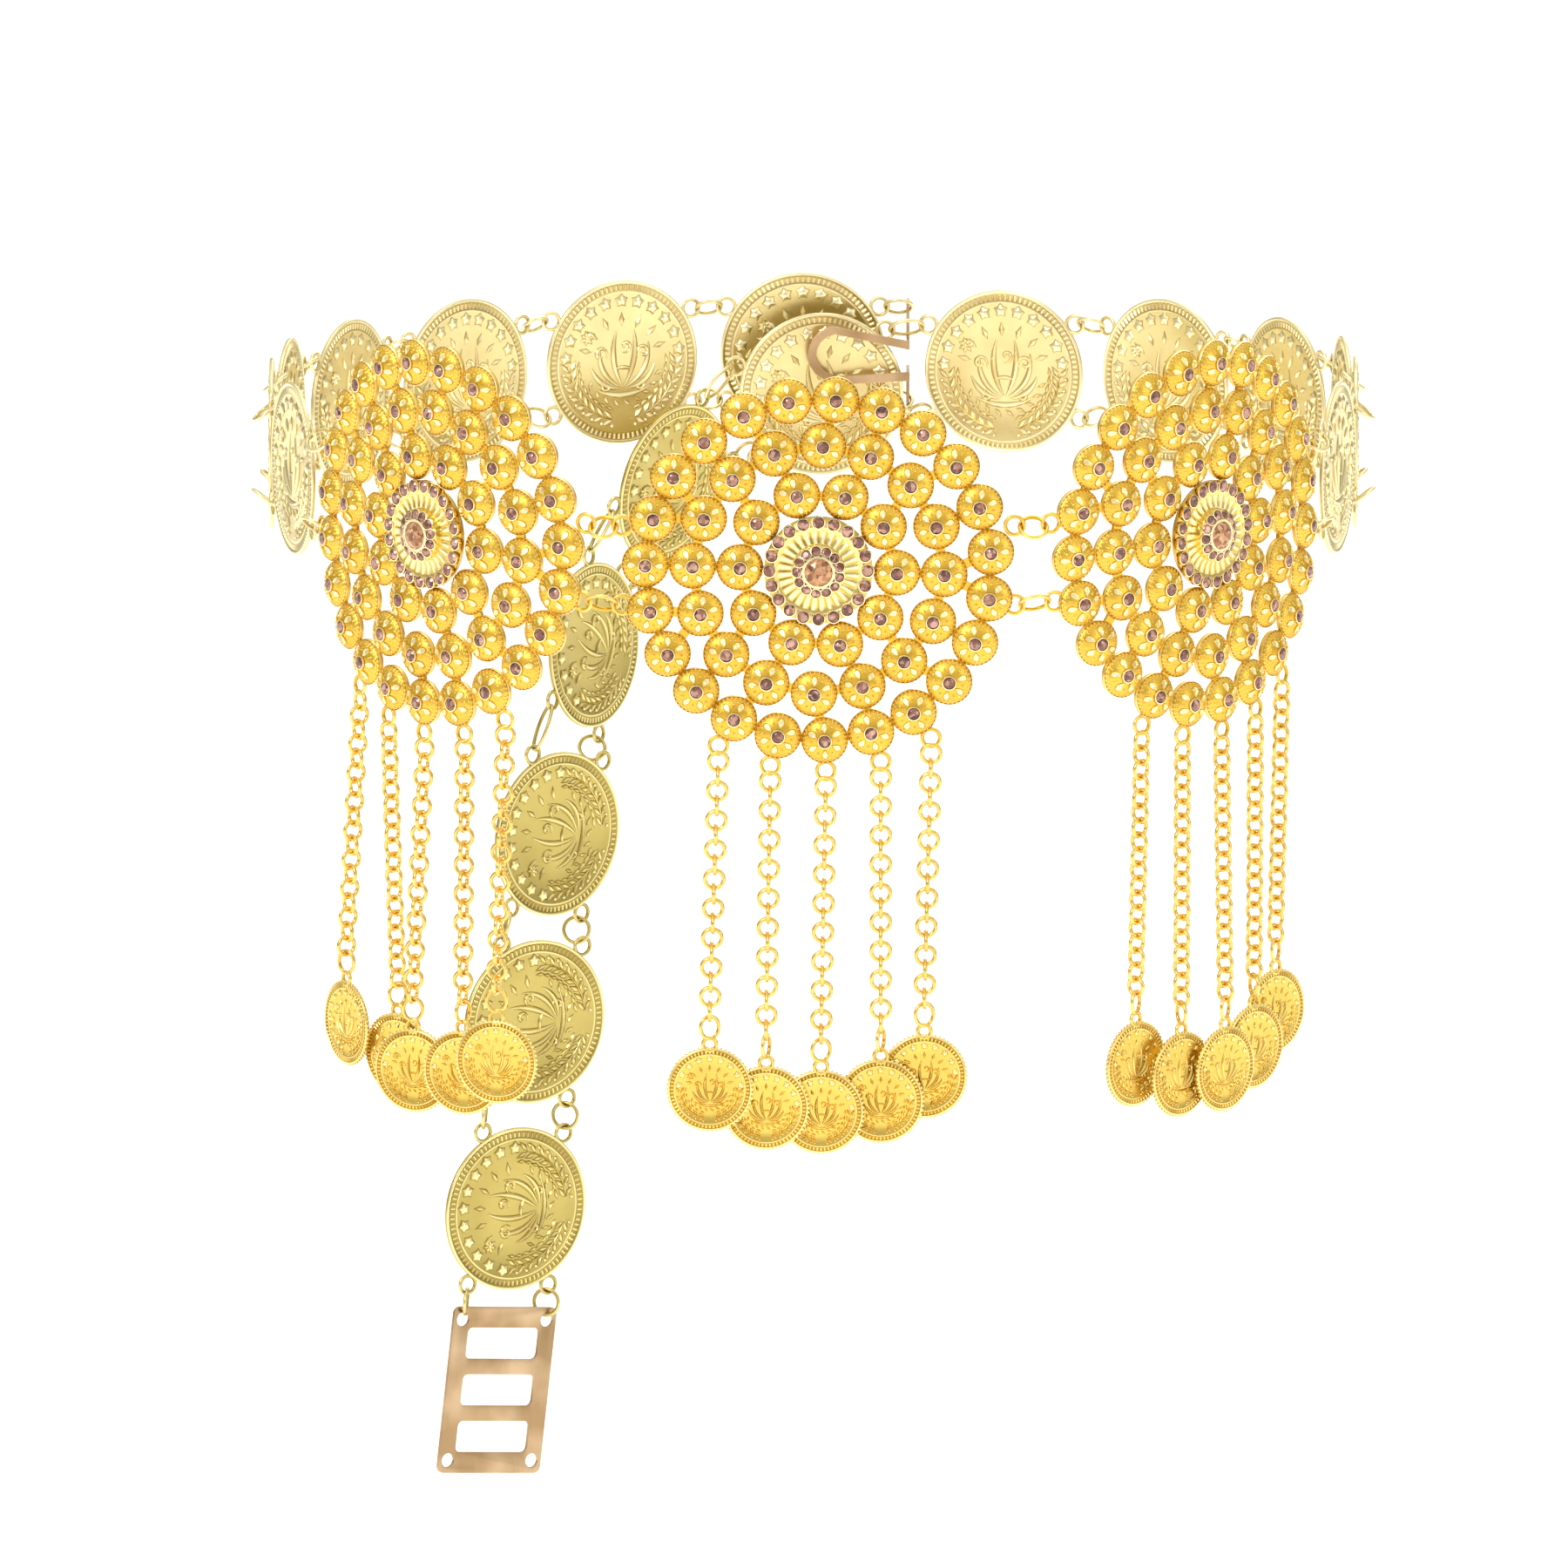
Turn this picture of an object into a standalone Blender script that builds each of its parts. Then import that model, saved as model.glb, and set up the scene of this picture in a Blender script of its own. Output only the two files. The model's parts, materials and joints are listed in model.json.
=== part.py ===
"""Waist chain: a gold belt of linked coins with three beaded rosettes at the front, in its worn ring.

Sizes are millimetres, turned into metres where a mesh is made. X is to the right of the front view, -Y is
the front and Z is up. The origin is the middle of the worn ring, level with the front rosette's centre.

The belt is walked from the front rosette to the back along each side: a row gives the heading of a piece
(0 along X at the front, 90 straight back), its slope and the tilt of its face about the belt. A piece's own
axes are u along the belt, v up its face and n out of the ring.
"""

import math

import bmesh
import bpy
from mathutils import Matrix, Vector

MM = 0.001
SHARP = math.radians(40.0)
GAP = 0.3
FRONT_Y = -160.0

# Coins and their wire lugs
COIN_RADIUS = 23.0
SHEET = 1.2
WIRE = 1.1
LUG_ALONG = 21.4
LUG_ACROSS = 13.35
LUG_HOLE = 1.9
LUG_OUT = LUG_HOLE + WIRE
LUG_CORNER = 1.6
LUG_ROOT = 2.2
RIM_BELOW_LUG = (11.0,)
RIM_ABOVE_LUG = (54.0, 78.0)
LINK_LENGTH = 9.9
HOOK_LINK = 10.5
SLACK_LINK = 11.5

# Jump rings: where each bar sits in its lug, and how deep the ring stands either side of the coins
FUSED_BAR = 1.65
FREE_BAR = 1.05
BAR_DEPTH = 1.9
RING_DEPTH = 3.7
BUNCHED_LINK = 7.2
BUNCHED_DEPTH = 6.0
BUNCHED_RISE = 3.0
SLACK_BAR = 0.6
TAUT_RANGE = 1.5

# Rosettes
BEAD_HEIGHT = 4.1
BEAD_TOP = 2.0
BEAD_FLAT = 1.9
RING_STEP = 12.3
BEAD_OVERLAP = 0.35
BEAD_REACH = RING_STEP / 2 + BEAD_OVERLAP
BEAD_RINGS = (  # beads, ring radius, angle of the first bead
    (10, 20.4, -2.0),
    (16, 32.7, -2.0),
    (23, 45.0, 6.0),
)
ROSETTE_BEND = 145.0
LUG_REACH = 50.9
ROSETTE_LUGS = (11.6, -9.2)
FITTING_LEVEL = 0.15
ROSETTE_LUG_ROOT = 6.5
EYELET_RING = 53.3
EYELET_TIP = 2.6
EYELET_SAG = 0.4
EYELET_TAB = (  # outline of an eyelet, from its root at the bead to its tip
    (-5.0, -2.2),
    (0.6, -2.9),
    (EYELET_TIP, -1.5),
    (EYELET_TIP, 1.5),
    (0.6, 2.9),
    (-5.0, 2.2),
)
EYELET_BEADS = (15, 16, 17, 18, 19)
MEDALLION_SIDES = 14
MEDALLION_PROFILE = (  # radius, height
    (13.7, 0.0),
    (13.7, 2.2),
    (8.4, 2.6),
    (7.2, 4.6),
    (3.4, 6.4),
)

# Chains and pendants
LINK_PITCH = 3.8
LINK_WIDTH = 5.6
LINK_WIRE = 1.4
FEWEST_LINKS = 3
RING_WIDTH = 7.0
PENDANT_RADIUS = 11.0
PENDANT_SHEET = 1.1
PENDANT_SIDES = 14
LOOP_LENGTH = 4.0
LOOP_OVERLAP = 0.8
LOOP_FOOT = 1.9
LOOP_TOP = 1.5
PIVOT_RISE = 0.6
CHAIN_DROP = 90.7
LAYER = 1.75

# Ladder plate and hook
PLATE_LENGTH = 47.0
PLATE_WIDTH = 34.0
PLATE_NEAR = 19.9
PLATE_ACROSS = 13.9
PLATE_HOLE = 1.9
PLATE_CORNER = 2.0
SLOT_LENGTH = 8.6
SLOT_WIDTH = 23.2
SLOT_PITCH = 13.2
HOOK_STRIP = 2.3
HOOK_SHEET = 1.2
HOOK_POST_INSET = 2.55
HOOK_POST_END = 2.2
HOOK_HIGH = 4.2
HOOK_LOW = -4.6
HOOK_FORWARD = 3.4
HOOK_BOW = (  # x, and height from the upper arm: over the front coin and round to the lower arm
    (4.9, 4.3),
    (-0.8, -0.4),
    (-0.8, -5.6),
    (4.9, -10.0),
)
HOOK_BOW_MIDDLE = (8.0, -2.8)

SIDE_ROSETTE = {"heading": 46.0, "slope": 4.0}
LEFT_COINS = (  # name, heading, slope, tilt of the face, link length to the piece before it
    ("coin_left_1", 74.5, -1.0, 0.0, LINK_LENGTH),
    ("coin_left_2", 89.0, -3.0, 0.0, BUNCHED_LINK),
    ("coin_left_3", 98.0, -4.0, 0.0, LINK_LENGTH),
    ("coin_left_4", 116.0, -2.5, 0.0, LINK_LENGTH),
    ("coin_left_5", 136.5, 0.0, 0.0, LINK_LENGTH),
    ("coin_left_6", 155.0, 1.0, 0.0, LINK_LENGTH),
    ("coin_left_7", 180.0, 0.0, 0.0, LINK_LENGTH),
)
RIGHT_COINS = (
    ("coin_right_1", 77.0, -0.5, 0.0, LINK_LENGTH),
    ("coin_right_2", 88.5, -3.0, 0.0, BUNCHED_LINK),
    ("coin_right_3", 95.0, -4.0, 0.0, LINK_LENGTH),
    ("coin_right_4", 117.5, -2.5, 0.0, LINK_LENGTH),
    ("coin_right_5", 137.0, -1.0, 0.0, LINK_LENGTH),
    ("coin_right_6", 162.0, -3.0, 0.0, LINK_LENGTH),
    ("coin_right_7", 184.0, -13.0, 0.0, LINK_LENGTH),
    ("coin_tail_1", 223.0, -38.5, -12.0, LINK_LENGTH),
    ("coin_tail_2", 242.0, -60.5, 4.0, SLACK_LINK),
    ("coin_tail_3", 223.0, -79.0, 0.0, SLACK_LINK),
    ("coin_tail_4", 213.5, -83.0, 0.0, LINK_LENGTH),
    ("coin_tail_5", 213.5, -83.0, 0.0, LINK_LENGTH),
)
PLATE_ROW = ("ladder_plate", 213.5, -82.5, 0.0, LINK_LENGTH)

PENDANTS = {  # sway along the belt, layers outwards, turn of the face from straight ahead
    "left": ((-2.0, 2, -58.0), (3.0, 0, -40.0), (-3.0, 1, -25.0), (-1.0, 0, -22.0), (0.0, 2, -18.0)),
    "centre": ((-2.3, 2, 0.0), (-1.1, 1, 0.0), (-1.2, 0, 0.0), (0.1, -1, 0.0), (-1.6, -2, 0.0)),
    "right": ((0.0, -1, 46.0), (0.0, 0, 46.0), (0.0, 1, 46.0), (0.0, 0, 46.0), (0.0, -1, 46.0)),
}

GOLD = (0.93, 0.56, 0.075)
COIN_GOLD = (0.80, 0.69, 0.28)
ROSE_GOLD = (0.62, 0.40, 0.24)
STONE = (0.32, 0.14, 0.11)


def clear_scene():
    for item in list(bpy.data.objects):
        bpy.data.objects.remove(item, do_unlink=True)


def finish(name, colour, metallic, roughness):
    material = bpy.data.materials.new(name)
    material.use_nodes = True
    shader = material.node_tree.nodes["Principled BSDF"]
    shader.inputs["Base Color"].default_value = (*colour, 1.0)
    shader.inputs["Metallic"].default_value = metallic
    shader.inputs["Roughness"].default_value = roughness
    return material


def placed_object(name, mesh, frame):
    made = bpy.data.objects.new(name, mesh)
    bpy.context.scene.collection.objects.link(made)
    if frame is not None:
        placed = frame.copy()
        placed.translation = frame.translation * MM
        made.matrix_world = placed
    return made


def mesh_object(name, points, faces, material, frame=None, helper=False):
    """An object from points in millimetres, placed by a frame whose origin is in millimetres."""
    mesh = bpy.data.meshes.new(name)
    mesh.from_pydata([Vector(p) * MM for p in points], [], faces)
    body = bmesh.new()
    body.from_mesh(mesh)
    bmesh.ops.recalc_face_normals(body, faces=body.faces)
    body.to_mesh(mesh)
    body.free()
    mesh.materials.append(material)
    mesh.shade_smooth()
    mesh.set_sharp_from_angle(angle=SHARP)
    made = placed_object(name, mesh, frame)
    if helper:
        made.hide_render = True
        made.display_type = "WIRE"
    return made


def join(target, cutter, self_crossing=False):
    union = target.modifiers.new("join " + cutter.name, "BOOLEAN")
    union.operation = "UNION"
    union.solver = "EXACT"
    union.use_self = self_crossing
    union.object = cutter


def cut(target, cutter):
    difference = target.modifiers.new("cut " + cutter.name, "BOOLEAN")
    difference.operation = "DIFFERENCE"
    difference.solver = "EXACT"
    difference.object = cutter


def evaluated_mesh(made):
    graph = bpy.context.evaluated_depsgraph_get()
    return bpy.data.meshes.new_from_object(made.evaluated_get(graph))


def slab(outline, low, high):
    """Points and faces of a flat slab between two heights, its outline as (x, y) points."""
    count = len(outline)
    points = [(x, y, low) for x, y in outline] + [(x, y, high) for x, y in outline]
    faces = [tuple(range(count - 1, -1, -1)), tuple(range(count, 2 * count))]
    for a in range(count):
        b = (a + 1) % count
        faces.append((a, b, b + count, a + count))
    return points, faces


def rectangle(x, y, half_x, half_y):
    corners = ((-1, -1), (1, -1), (1, 1), (-1, 1))
    return [(x + a * half_x, y + b * half_y) for a, b in corners]


def arc(radius, degrees):
    return [(radius * math.cos(math.radians(a)), radius * math.sin(math.radians(a))) for a in degrees]


def frame_shape(outline, hole, low, high):
    """A slab with one square hole, its outline running round the hole from the same corner on."""
    count, corners = len(outline), len(hole)
    loop = outline + hole
    points = [(x, y, low) for x, y in loop] + [(x, y, high) for x, y in loop]
    faces = []
    total = len(loop)
    nearest = [min(range(corners), key=lambda k: math.dist(place, hole[k])) for place in outline]
    for level, turn in ((0, True), (total, False)):
        for i in range(count):
            j = (i + 1) % count
            face = [i, j, count + nearest[j]]
            if nearest[i] != nearest[j]:
                face.append(count + nearest[i])
            face = [level + k for k in face]
            faces.append(tuple(reversed(face)) if turn else tuple(face))
    for size, offset in ((count, 0), (corners, count)):
        for i in range(size):
            a, b = offset + i, offset + (i + 1) % size
            faces.append((a, b, b + total, a + total))
    return points, faces


def sweep(path, sides, closed):
    """Points and faces of a four-sided bar. sides gives the two half-width vectors at each point of path."""
    points = []
    for place, (across, through) in zip(path, sides):
        points += [place + across + through, place - across + through]
        points += [place - across - through, place + across - through]
    faces = []
    rows = len(path)
    for i in range(rows if closed else rows - 1):
        j = (i + 1) % rows
        for k in range(4):
            m = (k + 1) % 4
            faces.append((4 * i + k, 4 * i + m, 4 * j + m, 4 * j + k))
    if not closed:
        faces += [(3, 2, 1, 0), tuple(4 * rows - 4 + k for k in range(4))]
    return points, faces


def merged(*shapes):
    points, faces = [], []
    for more_points, more_faces in shapes:
        start = len(points)
        points += list(more_points)
        faces += [tuple(start + i for i in face) for face in more_faces]
    return points, faces


def piece_frame(side, heading, slope, place, tilt=0.0):
    """Axes u, v, n of a belt piece. side is 1 on the right, -1 on the left, where the belt runs along -u."""
    h, s = math.radians(heading), math.radians(slope)
    u = Vector((math.cos(h) * math.cos(s), side * math.sin(h) * math.cos(s), side * math.sin(s)))
    n = Matrix.Rotation(math.radians(tilt), 3, u) @ Vector((side * math.sin(h), -math.cos(h), 0.0))
    v = n.cross(u)
    frame = Matrix((u, v, n)).transposed().to_4x4()
    frame.translation = place
    return frame


def along(frame, side):
    """Unit vector in which the belt runs on from this piece."""
    return frame.col[0].xyz * side


def bent(point, radius):
    """A point of a flat rosette, wrapped round the waist."""
    x, y, z = point
    if not radius:
        return Vector(point)
    angle = x / radius
    return Vector(((radius + z) * math.sin(angle), y, (radius + z) * math.cos(angle) - radius))


def bead_shape(ring_radius, angle, reach):
    """One domed bead: eight sides at the foot, with flats that meet its neighbours, and a small square top."""
    foot = [(BEAD_REACH, BEAD_FLAT), (BEAD_FLAT, reach), (-BEAD_FLAT, reach), (-BEAD_REACH, BEAD_FLAT)]
    foot += [(-x, -y) for x, y in foot]
    top = [(BEAD_TOP, BEAD_TOP), (-BEAD_TOP, BEAD_TOP), (-BEAD_TOP, -BEAD_TOP), (BEAD_TOP, -BEAD_TOP)]
    turn = Matrix.Rotation(angle, 3, "Z")
    centre = Vector((ring_radius, 0.0, 0.0))
    points = [turn @ (centre + Vector((x, y, 0.0))) for x, y in foot]
    points += [turn @ (centre + Vector((x, y, BEAD_HEIGHT))) for x, y in top]
    faces = [tuple(range(7, -1, -1)), (8, 9, 10, 11)]
    for k in range(4):
        before = 8 + (k + 3) % 4
        faces += [(2 * k, 2 * k + 1, 8 + k), ((2 * k + 7) % 8, 2 * k, 8 + k, before)]
    return points, faces


def bead_angle(count, first, k):
    return math.radians(first + 360.0 * k / count)


def eyelet_angle(k):
    count, _, first = BEAD_RINGS[-1]
    return bead_angle(count, first, k)


def rosette_shape():
    beads = []
    for count, radius, first in BEAD_RINGS:
        reach = radius * math.sin(math.pi / count) + BEAD_OVERLAP
        beads += [bead_shape(radius, bead_angle(count, first, k), reach) for k in range(count)]
    return merged(*beads)


def rosette_fittings():
    """The side lugs, each with its hole, and the five eyelets that the chains hang from."""
    low, high = FITTING_LEVEL, FITTING_LEVEL + WIRE
    outline = [(-ROSETTE_LUG_ROOT, -LUG_OUT), (LUG_HOLE, -LUG_OUT), (LUG_OUT, -LUG_HOLE)]
    outline += [(LUG_OUT, LUG_HOLE), (LUG_HOLE, LUG_OUT), (-ROSETTE_LUG_ROOT, LUG_OUT)]
    made = []
    for side in (-1, 1):
        for across in ROSETTE_LUGS:
            points, faces = frame_shape(outline, rectangle(0.0, 0.0, LUG_HOLE, LUG_HOLE), low, high)
            made.append(([(side * (LUG_REACH + x), across + side * y, z) for x, y, z in points], faces))
    for k in EYELET_BEADS:
        turn = Matrix.Rotation(eyelet_angle(k), 3, "Z")
        points, faces = slab([(EYELET_RING + x, y) for x, y in EYELET_TAB], low, high)
        made.append(([turn @ Vector(p) for p in points], faces))
    return merged(*made)


def flat_rosette(name, gold, rings=()):
    """The beads, lugs and eyelets of a rosette, and any rings on its lugs, before it is wrapped."""
    points, faces = rosette_shape()
    beads = mesh_object(name + "_beads", points, faces, gold, helper=True)
    points, faces = merged(rosette_fittings(), *rings)
    join(beads, mesh_object(name + "_fittings", points, faces, gold, helper=True), self_crossing=True)
    return evaluated_mesh(beads)


def rosette(name, flat, frame, bend):
    """A copy of the flat rosette, wrapped round the waist and put in its place."""
    mesh = flat.copy()
    mesh.name = name
    for vertex in mesh.vertices:
        vertex.co = bent(vertex.co / MM, bend) * MM
    return placed_object(name, mesh, frame)


def medallion(name, frame, material):
    """The round setting in the middle of a rosette: a dish with a raised stone."""
    sides = MEDALLION_SIDES
    points = []
    for radius, height in MEDALLION_PROFILE:
        points += [(x, y, height) for x, y in arc(radius, [360.0 * k / sides for k in range(sides)])]
    faces = [tuple(range(sides))]
    for row in range(len(MEDALLION_PROFILE) - 1):
        for k in range(sides):
            j = (k + 1) % sides
            faces.append((row * sides + k, row * sides + j, (row + 1) * sides + j, (row + 1) * sides + k))
    top = (len(MEDALLION_PROFILE) - 1) * sides
    faces.append(tuple(range(top, top + sides)))
    mesh_object(name, points, faces, material, frame)


def lug_points(side):
    """(x, y) of the two lug holes on one side of a coin."""
    return [(side * LUG_ALONG, LUG_ACROSS), (side * LUG_ALONG, -LUG_ACROSS)]


def coin_outline():
    """One quarter from the right end to the top, mirrored into the whole: the disc's arcs and a lug."""
    end, top = LUG_ALONG + LUG_OUT, LUG_ACROSS + LUG_OUT
    quarter = arc(COIN_RADIUS, RIM_BELOW_LUG)
    quarter += [(end, LUG_ACROSS - LUG_CORNER), (end, LUG_ACROSS + LUG_CORNER)]
    quarter += [(LUG_ALONG + LUG_HOLE, top), (LUG_ALONG - LUG_ROOT, top)]
    quarter += arc(COIN_RADIUS, RIM_ABOVE_LUG)
    left = [(-x, y) for x, y in reversed(quarter)]
    upper = quarter + left
    return upper + [(-x, -y) for x, y in upper]


def jump_ring(near, near_frame, far, far_frame, side, bunched):
    """Points and faces of one ring, fused to the near lug and clear in the far one, in world millimetres."""
    start = near + along(near_frame, side) * FUSED_BAR
    taut = not bunched and abs((far - near).length - LINK_LENGTH) < TAUT_RANGE
    end = far - (far - start).normalized() * (FREE_BAR if taut else SLACK_BAR)
    run = (end - start).normalized()
    out = far_frame.col[2].xyz
    through = out.cross(run).normalized()
    middle = (start + end) / 2
    rise, outer = (BUNCHED_RISE, BUNCHED_DEPTH) if bunched else (BAR_DEPTH, RING_DEPTH)
    path = [start - out * BAR_DEPTH, start + out * rise, middle + out * outer]
    path += [end + out * rise, end - out * BAR_DEPTH, middle - out * RING_DEPTH]
    sides = []
    for i, place in enumerate(path):
        back = (place - path[i - 1]).normalized()
        on = (path[(i + 1) % len(path)] - place).normalized()
        across = through.cross(back + on).normalized()
        mitre = across.dot(through.cross(on))
        sides.append((across * (WIRE / 2 / mitre), through * (WIRE / 2)))
    return sweep(path, sides, True)


def to_local(shape, frame):
    points, faces = shape
    back = frame.inverted()
    return [back @ Vector(p) for p in points], faces


def flat_coin(gold):
    """The disc with its four lugs, a square hole cut in each."""
    points, faces = slab(coin_outline(), -SHEET / 2, SHEET / 2)
    disc = mesh_object("coin_disc", points, faces, gold, helper=True)
    holes = [rectangle(x, y, LUG_HOLE, LUG_HOLE) for side in (-1, 1) for x, y in lug_points(side)]
    points, faces = merged(*(slab(hole, -SHEET, SHEET) for hole in holes))
    cut(disc, mesh_object("lug_holes", points, faces, gold, helper=True))
    return evaluated_mesh(disc)


def coin(name, flat, frame, rings, gold):
    """A copy of the flat coin in its place, with the rings that are fused to its lugs."""
    body = placed_object(name, flat.copy(), frame)
    if rings:
        points, faces = to_local(merged(*rings), frame)
        join(body, mesh_object(name + "_rings", points, faces, gold, frame, True), self_crossing=True)
    return body


def side_rosette_frame(side):
    """Frame of a side rosette, placed so that its near lugs are one link from the front rosette's."""
    centre = math.radians(SIDE_ROSETTE["heading"])
    half = LUG_REACH / ROSETTE_BEND
    near = centre - half
    link_heading = near / 2
    slope = math.radians(SIDE_ROSETTE["slope"])
    run = Vector((math.cos(link_heading), math.sin(link_heading), math.sin(slope / 2)))
    frame = piece_frame(side, SIDE_ROSETTE["heading"], SIDE_ROSETTE["slope"], Vector())
    near_local = bent((-side * LUG_REACH, 0.0, 0.0), ROSETTE_BEND)
    start = Vector((LUG_REACH, FRONT_Y, 0.0)) + run * LINK_LENGTH
    start.x *= side
    frame.translation = start - frame.to_3x3() @ near_local
    return frame


def rosette_end(frame, end, bend):
    """Frame at a rosette's side lugs, and the two lug holes, in world millimetres. end is 1 at +u."""
    turn = Matrix.Rotation(LUG_REACH / bend * end, 4, "Y") if bend else Matrix.Identity(4)
    level = FITTING_LEVEL + WIRE / 2
    lugs = [frame @ bent((end * LUG_REACH, across, level), bend) for across in ROSETTE_LUGS]
    at_end = frame @ turn
    at_end.translation = (lugs[0] + lugs[1]) / 2
    return at_end, lugs


def coin_lugs(frame, end):
    return [frame @ Vector((x, y, 0.0)) for x, y in lug_points(end)]


def walk(side, rows, end_frame):
    """Frames of the coins of one side, each one link on from the piece before it."""
    frames = {}
    before, place = end_frame, end_frame.translation.copy()
    for name, heading, slope, tilt, link in rows:
        frame = piece_frame(side, heading, slope, Vector(), tilt)
        run = (along(before, side) + along(frame, side)).normalized()
        place = place + run * link
        reach = PLATE_NEAR if name == "ladder_plate" else LUG_ALONG
        frame.translation = place + along(frame, side) * reach
        place = frame.translation + along(frame, side) * reach
        frames[name] = frame
        before = frame
    return frames


def ring_pair(near_lugs, near_frame, far_lugs, far_frame, side, bunched=False):
    pairs = zip(near_lugs, far_lugs)
    return [jump_ring(near, near_frame, far, far_frame, side, bunched) for near, far in pairs]


def chain(name, top, bottom, face, gold):
    """Rolo links as one bar that widens one way and then the other, with one widening for two links."""
    down = (bottom - top).normalized()
    wide = face
    deep = down.cross(wide).normalized()
    length = (bottom - top).length
    count = max(FEWEST_LINKS, round((length - RING_WIDTH) / (2 * LINK_PITCH)))
    step = (length - RING_WIDTH) / count
    path, sides = [top], [(wide * LINK_WIRE / 2, deep * LINK_WIRE / 2)]
    for i in range(count):
        path.append(top + down * step * (i + 0.5))
        a, b = (LINK_WIDTH, LINK_WIRE) if i % 2 else (LINK_WIRE, LINK_WIDTH)
        sides.append((wide * a / 2, deep * b / 2))
    path += [bottom - down * RING_WIDTH, bottom - down * RING_WIDTH / 2, bottom]
    sides += [(wide * LINK_WIRE / 2, deep * LINK_WIRE / 2), (wide * RING_WIDTH / 2, deep * WIRE / 2)]
    sides.append((wide * LINK_WIRE, deep * WIRE / 2))
    points, faces = sweep(path, sides, False)
    mesh_object(name, points, faces, gold)


def pendant(name, hang, turn, gold):
    """A small coin under its loop. hang is the top of the loop, and turn is the face's turn about Z."""
    t = math.radians(turn)
    u = Vector((math.cos(t), math.sin(t), 0.0))
    n = Vector((math.sin(t), -math.cos(t), 0.0))
    frame = Matrix((u, n.cross(u), n)).transposed().to_4x4()
    frame.translation = hang + Vector((0.0, 0.0, PIVOT_RISE))
    foot = LOOP_OVERLAP - LOOP_LENGTH - PIVOT_RISE
    centre = foot - PENDANT_RADIUS
    outline = [(LOOP_FOOT, foot), (LOOP_TOP, -PIVOT_RISE), (-LOOP_TOP, -PIVOT_RISE), (-LOOP_FOOT, foot)]
    steps = [90.0 + 360.0 * k / PENDANT_SIDES for k in range(1, PENDANT_SIDES)]
    outline += [(x, centre + y) for x, y in arc(PENDANT_RADIUS, steps)]
    points, faces = slab(outline, -PENDANT_SHEET / 2, PENDANT_SHEET / 2)
    mesh_object(name, points, faces, gold, frame)


def ladder_plate(frame, rose):
    """The end plate, with three slots to hook into. Its origin is between its near holes, where it hinges."""
    near, far, wide, corner = -PLATE_LENGTH / 2, PLATE_LENGTH / 2, PLATE_WIDTH / 2, PLATE_CORNER
    outline = [(far - corner, -wide), (far, -wide + corner), (far, wide - corner), (far - corner, wide)]
    outline += [(near + corner, wide), (near, wide - corner), (near, -wide + corner), (near + corner, -wide)]
    corners = [(x, y) for x in (-PLATE_NEAR, PLATE_NEAR) for y in (-PLATE_ACROSS, PLATE_ACROSS)]
    holes = [rectangle(x, y, PLATE_HOLE, PLATE_HOLE) for x, y in corners]
    holes += [rectangle(k * SLOT_PITCH, 0.0, SLOT_LENGTH / 2, SLOT_WIDTH / 2) for k in (-1, 0, 1)]
    hinge = frame.copy()
    hinge.translation = frame @ Vector((-PLATE_NEAR, 0.0, 0.0))
    outline, *holes = [[(x + PLATE_NEAR, y) for x, y in loop] for loop in (outline, *holes)]
    points, faces = slab(outline, -SHEET / 2, SHEET / 2)
    body = mesh_object("ladder_plate", points, faces, rose, hinge)
    points, faces = merged(*(slab(hole, -SHEET, SHEET) for hole in holes))
    cut(body, mesh_object("ladder_holes", points, faces, rose, hinge, True))


def hook(last, front, rose):
    """One flat strip: its posts stand in the last left coin's rings, and its bow lies over the front coin."""
    post_x = last.translation.x + LUG_ALONG + HOOK_LINK - HOOK_POST_INSET
    back_y, bow_y = last.translation.y, front.translation.y - HOOK_FORWARD
    high, low = last.translation.z + HOOK_HIGH, last.translation.z + HOOK_LOW
    post_end = LUG_ACROSS + HOOK_POST_END
    top, foot = last.translation.z + post_end, last.translation.z - post_end
    path = [(post_x, back_y, top), (post_x, back_y, high), (post_x, bow_y, high)]
    path += [(x, bow_y, high + z) for x, z in HOOK_BOW]
    path += [(post_x, bow_y, low), (post_x, back_y, low), (post_x, back_y, foot)]
    path = [Vector(p) for p in path]
    across, deep, up = Vector((1, 0, 0)), Vector((0, 1, 0)), Vector((0, 0, 1))
    wide, thin = HOOK_STRIP / 2, HOOK_SHEET / 2
    fold = across * thin - deep * thin
    sides = [(deep * wide, across * thin), ((deep - up) * wide, across * thin), (up * -wide, fold)]
    middle_x, middle_z = HOOK_BOW_MIDDLE
    middle = Vector((middle_x, bow_y, high + middle_z))
    for place in path[3:3 + len(HOOK_BOW)]:
        out = (place - middle).normalized()
        sides.append((out * -wide, deep * -thin))
    sides += [(up * wide, fold), ((deep + up) * wide, across * thin), (deep * wide, across * thin)]
    points, faces = sweep(path, sides, False)
    mesh_object("hook", points, faces, rose)


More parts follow.
